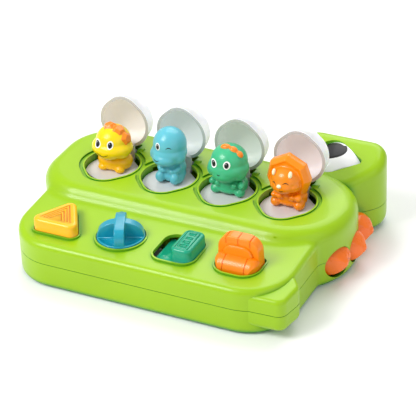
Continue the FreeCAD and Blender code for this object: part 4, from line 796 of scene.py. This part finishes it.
def arch(at, half, rise, wide, power, turn):
    """Upright slab whose outline is a rounded arch, turned about the vertical.

    It reaches 2 mm under at, so that it stands in what carries it.
    """
    deselect()
    bpy.ops.mesh.primitive_circle_add(vertices=64, radius=MM, fill_type="NGON", rotation=radians((90, 0, 0)))
    slab = settle(bpy.context.object, "arch")
    for v in slab.data.vertices:
        t = math.atan2(v.co.z, v.co.x)
        cx, cz = math.cos(t), math.sin(t)
        x = half * math.copysign(abs(cx) ** (2.0 / power), cx)
        z = rise * math.copysign(abs(cz) ** (2.0 / power), cz)
        v.co = Vector((x, -wide / 2.0, max(z, -2.0))) * MM
    edit_all(slab)
    bpy.ops.mesh.extrude_region_move(TRANSFORM_OT_translate={"value": (0, wide * MM, 0)})
    bpy.ops.mesh.select_all(action="SELECT")
    bpy.ops.mesh.normals_make_consistent(inside=False)
    leave_edit()
    finish_with(slab, "BEVEL", width=1.6 * MM, segments=3, limit_method="ANGLE")
    slab.location = Vector(at) * MM
    slab.rotation_euler = (0, 0, math.radians(turn))
    return settle(slab, "arch")


class TOY_OT_knob(bpy.types.Operator):
    """Turn knob whose grip is a cross of two arches over its round floor."""
    bl_idname = "toy.knob"
    bl_label = "Turn knob"

    def execute(self, context):
        floor = (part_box("turn_knob")[1] / MM).z - KNOB_H
        disc = copy_of("turn_knob", "knob_disc")
        cut(disc, [drum((*KNOB_AT, floor + CLEAR_UP), CLEAR_R, CLEAR_H, sides=96)])
        shade(disc, 35)
        arches = [arch((*KNOB_AT, floor), CROSS_R, *values)
                  for values in zip(CROSS_H, CROSS_W, CROSS_POWER, CROSS_TURN)]
        cross = join(arches, "knob_cross")
        finish_with(cross, "REMESH", mode="VOXEL", voxel_size=0.45 * MM)
        finish_with(cross, "SMOOTH", factor=0.5, iterations=4)
        shade(cross)
        finish = plastic("knob plastic", tuple(cols().knob), scatter=0.1, coat=0.6)
        place(disc, "knob_body", finish)
        place(cross, "knob_body", finish)
        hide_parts("turn_knob")
        return {"FINISHED"}


def ring_cutter(at, half, line, edge=0.0):
    """An oblong ring, as deep as a groove, whose lines have this width."""
    ring = brick(at, (*half, sizes().groove), edge=edge)
    return cut(ring, [brick(at, (half[0] - line, half[1] - line, 3.0))])


class TOY_OT_slider(bpy.types.Operator):
    """Slide button with a framed row of marks engraved in its handle."""
    bl_idname = "toy.slider"
    bl_label = "Slide button"

    def execute(self, context):
        s = sizes()
        piece = copy_of("slide_button", "slide_handle")
        x, y = HANDLE_AT
        top = (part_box("slide_button")[1] / MM).z
        rings = [ring_cutter((x, y, top), FRAME_HALF, s.groove_w, FRAME_ROUND)]
        for k in range(SLIDE_MARKS):
            at = (x, y + SLIDE_MARK_STEP * (k - (SLIDE_MARKS - 1) / 2), top)
            rings.append(ring_cutter(at, SLIDE_MARK_HALF, s.groove_w * SLIDE_MARK_LINE))
        cut(piece, rings)
        shade(piece, 35)
        finish = plastic("slider plastic", tuple(cols().slider), scatter=0.1)
        place(piece, "slider_body", finish)
        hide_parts("slide_button")
        return {"FINISHED"}


class TOY_OT_lever(bpy.types.Operator):
    """Finish of the flip lever."""
    bl_idname = "toy.lever"
    bl_label = "Flip lever"

    def execute(self, context):
        dress("flip_lever", plastic("lever plastic", tuple(cols().lever), scatter=0.04))
        return {"FINISHED"}


# ------------------------------------------------------------------ housing
class TOY_OT_housing(bpy.types.Operator):
    """Finishes of the shells, the flaps and the inner parts, and painted shade in the lids' insides and in the
    shells' grooves.
    """
    bl_idname = "toy.housing"
    bl_label = "Housing and flaps"

    def execute(self, context):
        c = cols()
        # the housing's deep green is painted shade, put into grooves and corners within 9 mm
        shell = plastic("housing plastic", tuple(c.housing), rough=0.36, scatter=0.05, coat=0.2,
                        deep=tuple(c.housing_painted_shade), reach=9.0)
        for node in ("top_shell", "bottom_shell"):
            dress(node, shell)
        for i, painted_shade_in in enumerate((c.lid_1, c.lid_2, c.lid_3, c.lid_4), 1):
            dress("flap_%d" % i, plastic("plate plastic", tuple(c.plate), rough=0.4, scatter=0.05))
            make_lid(i, painted_shade_in)
            dress("latch_%d" % i, plastic("inner plastic", tuple(c.inner), rough=0.5, scatter=0.0))
            dress("hinge_pin_%d" % i, steel("drawn steel"))
            dress("flap_spring_%d" % i, steel("drawn steel"))
        dress("control_tray", plastic("inner plastic", tuple(c.inner)))
        for node in ("button_spring", "lever_axle", "shell_screws", "tray_screws"):
            dress(node, steel("drawn steel"))
        return {"FINISHED"}


# strength of the painted glow in the lids' insides
LID_PAINTED_GLOW = 0.3
RIM_TONE = 0.8              # painted shade: the rim is this much darker than the inside
RIM_DEEP = 1.5              # faces this near to the front edge belong to the rim


def make_lid(i, painted_shade_in):
    """Copy of a lid whose inside and rim get painted shade: grey copies of its milky finish."""
    node = "lid_%d" % i
    lo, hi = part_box(node)
    middle = (lo + hi) / 2
    piece = copy_of(node, "milky_" + node)
    shade(piece, 40)
    outer = plastic("lid plastic", tuple(cols().lid), rough=0.34, scatter=0.25, coat=0.3, spread=0.01)
    inner = plastic("lid plastic, inside %d" % i, tuple(painted_shade_in), rough=0.5, scatter=0.2, coat=0.1,
                    spread=0.015)
    paint_glow(inner, tuple(painted_shade_in), LID_PAINTED_GLOW)
    rim = plastic("lid plastic, rim %d" % i, tuple(c * RIM_TONE for c in painted_shade_in), rough=0.5, scatter=0.2,
                  coat=0.1)
    place(piece, "flap_body_%d" % i, outer)
    piece.data.materials.append(inner)
    piece.data.materials.append(rim)
    # faces that look inward or to the front get the inside's painted shade, those at the front edge the darker
    # rim shade
    for face in piece.data.polygons:
        inward = Vector((middle.x - face.center.x, 0, middle.z - face.center.z))
        if face.normal.y < -0.7 and face.center.y < lo.y + RIM_DEEP * MM:
            face.material_index = 2
        elif face.normal.y < -0.3 or face.normal.dot(inward.normalized()) > 0.25:
            face.material_index = 1
    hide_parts(node)


# a side spike stands out this far from its seat
SPIKE_OUT = 15.4
# name, how much it leans forward over its length, and how far it stands further out
SPIKES = (("front", 0.7, 1.8), ("middle", 0.12, 0.0), ("rear", -0.15, 0.0))
SPIKE_VOXEL = 0.6
RIDGE = 0.26                # depth of the hollows between the ridges, as a share of the radius


class TOY_OT_spikes(bpy.types.Operator):
    """Side spikes, each with a collar that fills its seat and four ridges to its tip."""
    bl_idname = "toy.spikes"
    bl_label = "Side spikes"

    def execute(self, context):
        finish = plastic("spike plastic", tuple(cols().spike), rough=0.28, scatter=0.0, coat=0.5)
        for place_name, slant, shift in SPIKES:
            node = "spike_" + place_name
            lo, hi = (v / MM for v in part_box(node))
            base, y0, z0 = hi.x - SPIKE_OUT, (lo.y + hi.y) / 2, (lo.z + hi.z) / 2
            collar = drum((base + 0.2, y0, z0), (hi.z - lo.z) / 2, 7.0, (0, 90, 0))
            piece = join([copy_of(node, "ridged_" + node), collar], "ridged_" + node)
            finish_with(piece, "REMESH", mode="VOXEL", voxel_size=SPIKE_VOXEL * MM)
            start, end = base + 2.0, hi.x
            for v in piece.data.vertices:
                t = min(max((v.co.x / MM - start) / (end - start), 0.0), 1.0)
                y, z = v.co.y / MM - y0, v.co.z / MM - z0
                flat = 1.0 - RIDGE * t ** 0.8 * abs(math.cos(2.0 * math.atan2(z, y)))
                v.co.y = (y0 + y * flat) * MM
                v.co.z = (z0 + z * flat) * MM
                if v.co.x / MM > base - 4.0:
                    v.co.x += (slant * (1.0 - t) * y * flat + shift) * MM
            finish_with(piece, "SMOOTH", factor=0.5, iterations=3)
            shade(piece)
            place(piece, "housing", finish)
            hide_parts(node)
        return {"FINISHED"}


# the housing's large pupil: its middle and half sizes along X and Y, and its black rim
PUPIL_AT = (98.9, 82.2)
PUPIL_HALF = (16.2, 11.6)
PUPIL_RIM = 2.0


class TOY_OT_eye(bpy.types.Operator):
    """White dome of the housing's eye with its large painted pupil."""
    bl_idname = "toy.eye"
    bl_label = "Housing eye"

    def execute(self, context):
        s, c = sizes(), cols()
        dome = NODES["eye_dome"]
        dress("eye_dome", plastic("eye plastic", tuple(c.white), rough=0.2, coat=0.6, scatter=0.05))
        x, y = PUPIL_AT
        rim = mark(dome, PUPIL_AT, PUPIL_HALF, "large_pupil_rim", s.paint, down=True)
        place(rim, "housing", paint("eye paint black", tuple(c.black)))
        inner = [half - PUPIL_RIM for half in PUPIL_HALF]
        fill = mark(dome, (x, y - 0.2), inner, "large_pupil", 2 * s.paint, down=True)
        tone = faded("large pupil paint", tuple(c.pupil), tuple(c.black), "Y", 72.0, 90.0)
        place(fill, "housing", tone)
        return {"FINISHED"}


# ------------------------------------------------------------------ stage
# lights as name, place in metres, size in metres and power in watts
LIGHTS = (("key", (-0.9, -1.1, 1.5), 0.9, 30.0), ("fill", (1.4, -0.8, 0.9), 1.4, 5.0),
          ("top", (-0.1, 1.1, 1.5), 1.6, 22.0))
WORLD_LIGHT = 0.5
CAMERA_ANGLES = (26.95, 31.43, -2.48)   # azimuth, elevation and roll, in degrees
CAMERA_TARGET = (8.56, 2.0, 33.21)      # in millimetres
CAMERA_DISTANCE = 1.7275
CAMERA_LENS = 160.7


class TOY_OT_stage(bpy.types.Operator):
    """Floor, soft lights and camera."""
    bl_idname = "toy.stage"
    bl_label = "Stage"

    def execute(self, context):
        deselect()
        bpy.ops.mesh.primitive_plane_add(size=12.0, location=(0, 0, -0.2 * MM))
        floor = settle(bpy.context.object, "floor")
        mat = plastic("floor paper", tuple(cols().floor), rough=0.8, scatter=0.0, coat=0.0, spread=0.01)
        floor.data.materials.append(mat)
        for name, at, size, power in LIGHTS:
            bpy.ops.object.light_add(type="AREA", location=at)
            lamp = bpy.context.object
            lamp.name = name
            lamp.data.size = size
            lamp.data.energy = power
            lamp.rotation_euler = (-Vector(at)).to_track_quat("-Z", "Y").to_euler()
        world = bpy.data.worlds.new("studio")
        context.scene.world = world
        world.use_nodes = True
        sky = world.node_tree.nodes["Background"]
        sky.inputs["Color"].default_value = (1.0, 1.0, 1.0, 1.0)
        sky.inputs["Strength"].default_value = WORLD_LIGHT
        context.scene.view_settings.view_transform = "Standard"
        set_camera(context.scene)
        return {"FINISHED"}


def set_camera(scene):
    """A long lens from the front right, tipped a little."""
    azimuth, elevation, roll = radians(CAMERA_ANGLES)
    back = Vector((math.sin(azimuth) * math.cos(elevation), -math.cos(azimuth) * math.cos(elevation),
                   math.sin(elevation)))
    right = Vector((math.cos(azimuth), math.sin(azimuth), 0.0))
    up = back.cross(right)
    across = right * math.cos(roll) + up * math.sin(roll)
    upright = up * math.cos(roll) - right * math.sin(roll)
    turn = Matrix((across, upright, back)).transposed().to_4x4()
    data = bpy.data.cameras.new("camera")
    data.sensor_width = 36.0
    data.sensor_fit = "HORIZONTAL"
    data.lens = CAMERA_LENS
    data.clip_start = 0.05
    data.clip_end = 30.0
    camera = bpy.data.objects.new("camera", data)
    camera.matrix_world = Matrix.Translation(Vector(CAMERA_TARGET) * MM + back * CAMERA_DISTANCE) @ turn
    scene.collection.objects.link(camera)
    scene.camera = camera


class TOY_PT_panel(bpy.types.Panel):
    """The toy's parts, colours and sizes."""
    bl_label = "Pop-up Animal Toy"
    bl_idname = "TOY_PT_panel"
    bl_space_type = "VIEW_3D"
    bl_region_type = "UI"
    bl_category = "Toy"

    def draw(self, context):
        for step in STEPS:
            self.layout.operator(step.bl_idname)
        for group in (context.scene.toy_colours, context.scene.toy_sizes):
            box = self.layout.box()
            for key in group.bl_rna.properties.keys():
                if key not in ("rna_type", "name"):
                    box.prop(group, key)


STEPS = (TOY_OT_stage, TOY_OT_housing, TOY_OT_eye, TOY_OT_spikes, TOY_OT_button, TOY_OT_knob, TOY_OT_slider,
         TOY_OT_lever, TOY_OT_yellow_figure, TOY_OT_blue_figure, TOY_OT_green_figure, TOY_OT_horned_figure)
CLASSES = (ToyColours, ToySizes) + STEPS + (TOY_PT_panel,)


def register():
    for item in CLASSES:
        bpy.utils.register_class(item)
    bpy.types.Scene.toy_colours = PointerProperty(type=ToyColours)
    bpy.types.Scene.toy_sizes = PointerProperty(type=ToySizes)


def unregister():
    del bpy.types.Scene.toy_sizes
    del bpy.types.Scene.toy_colours
    for item in reversed(CLASSES):
        bpy.utils.unregister_class(item)


def main():
    register()
    for step in STEPS:
        group, call = step.bl_idname.split(".")
        getattr(getattr(bpy.ops, group), call)()


if __name__ == "__main__":
    main()
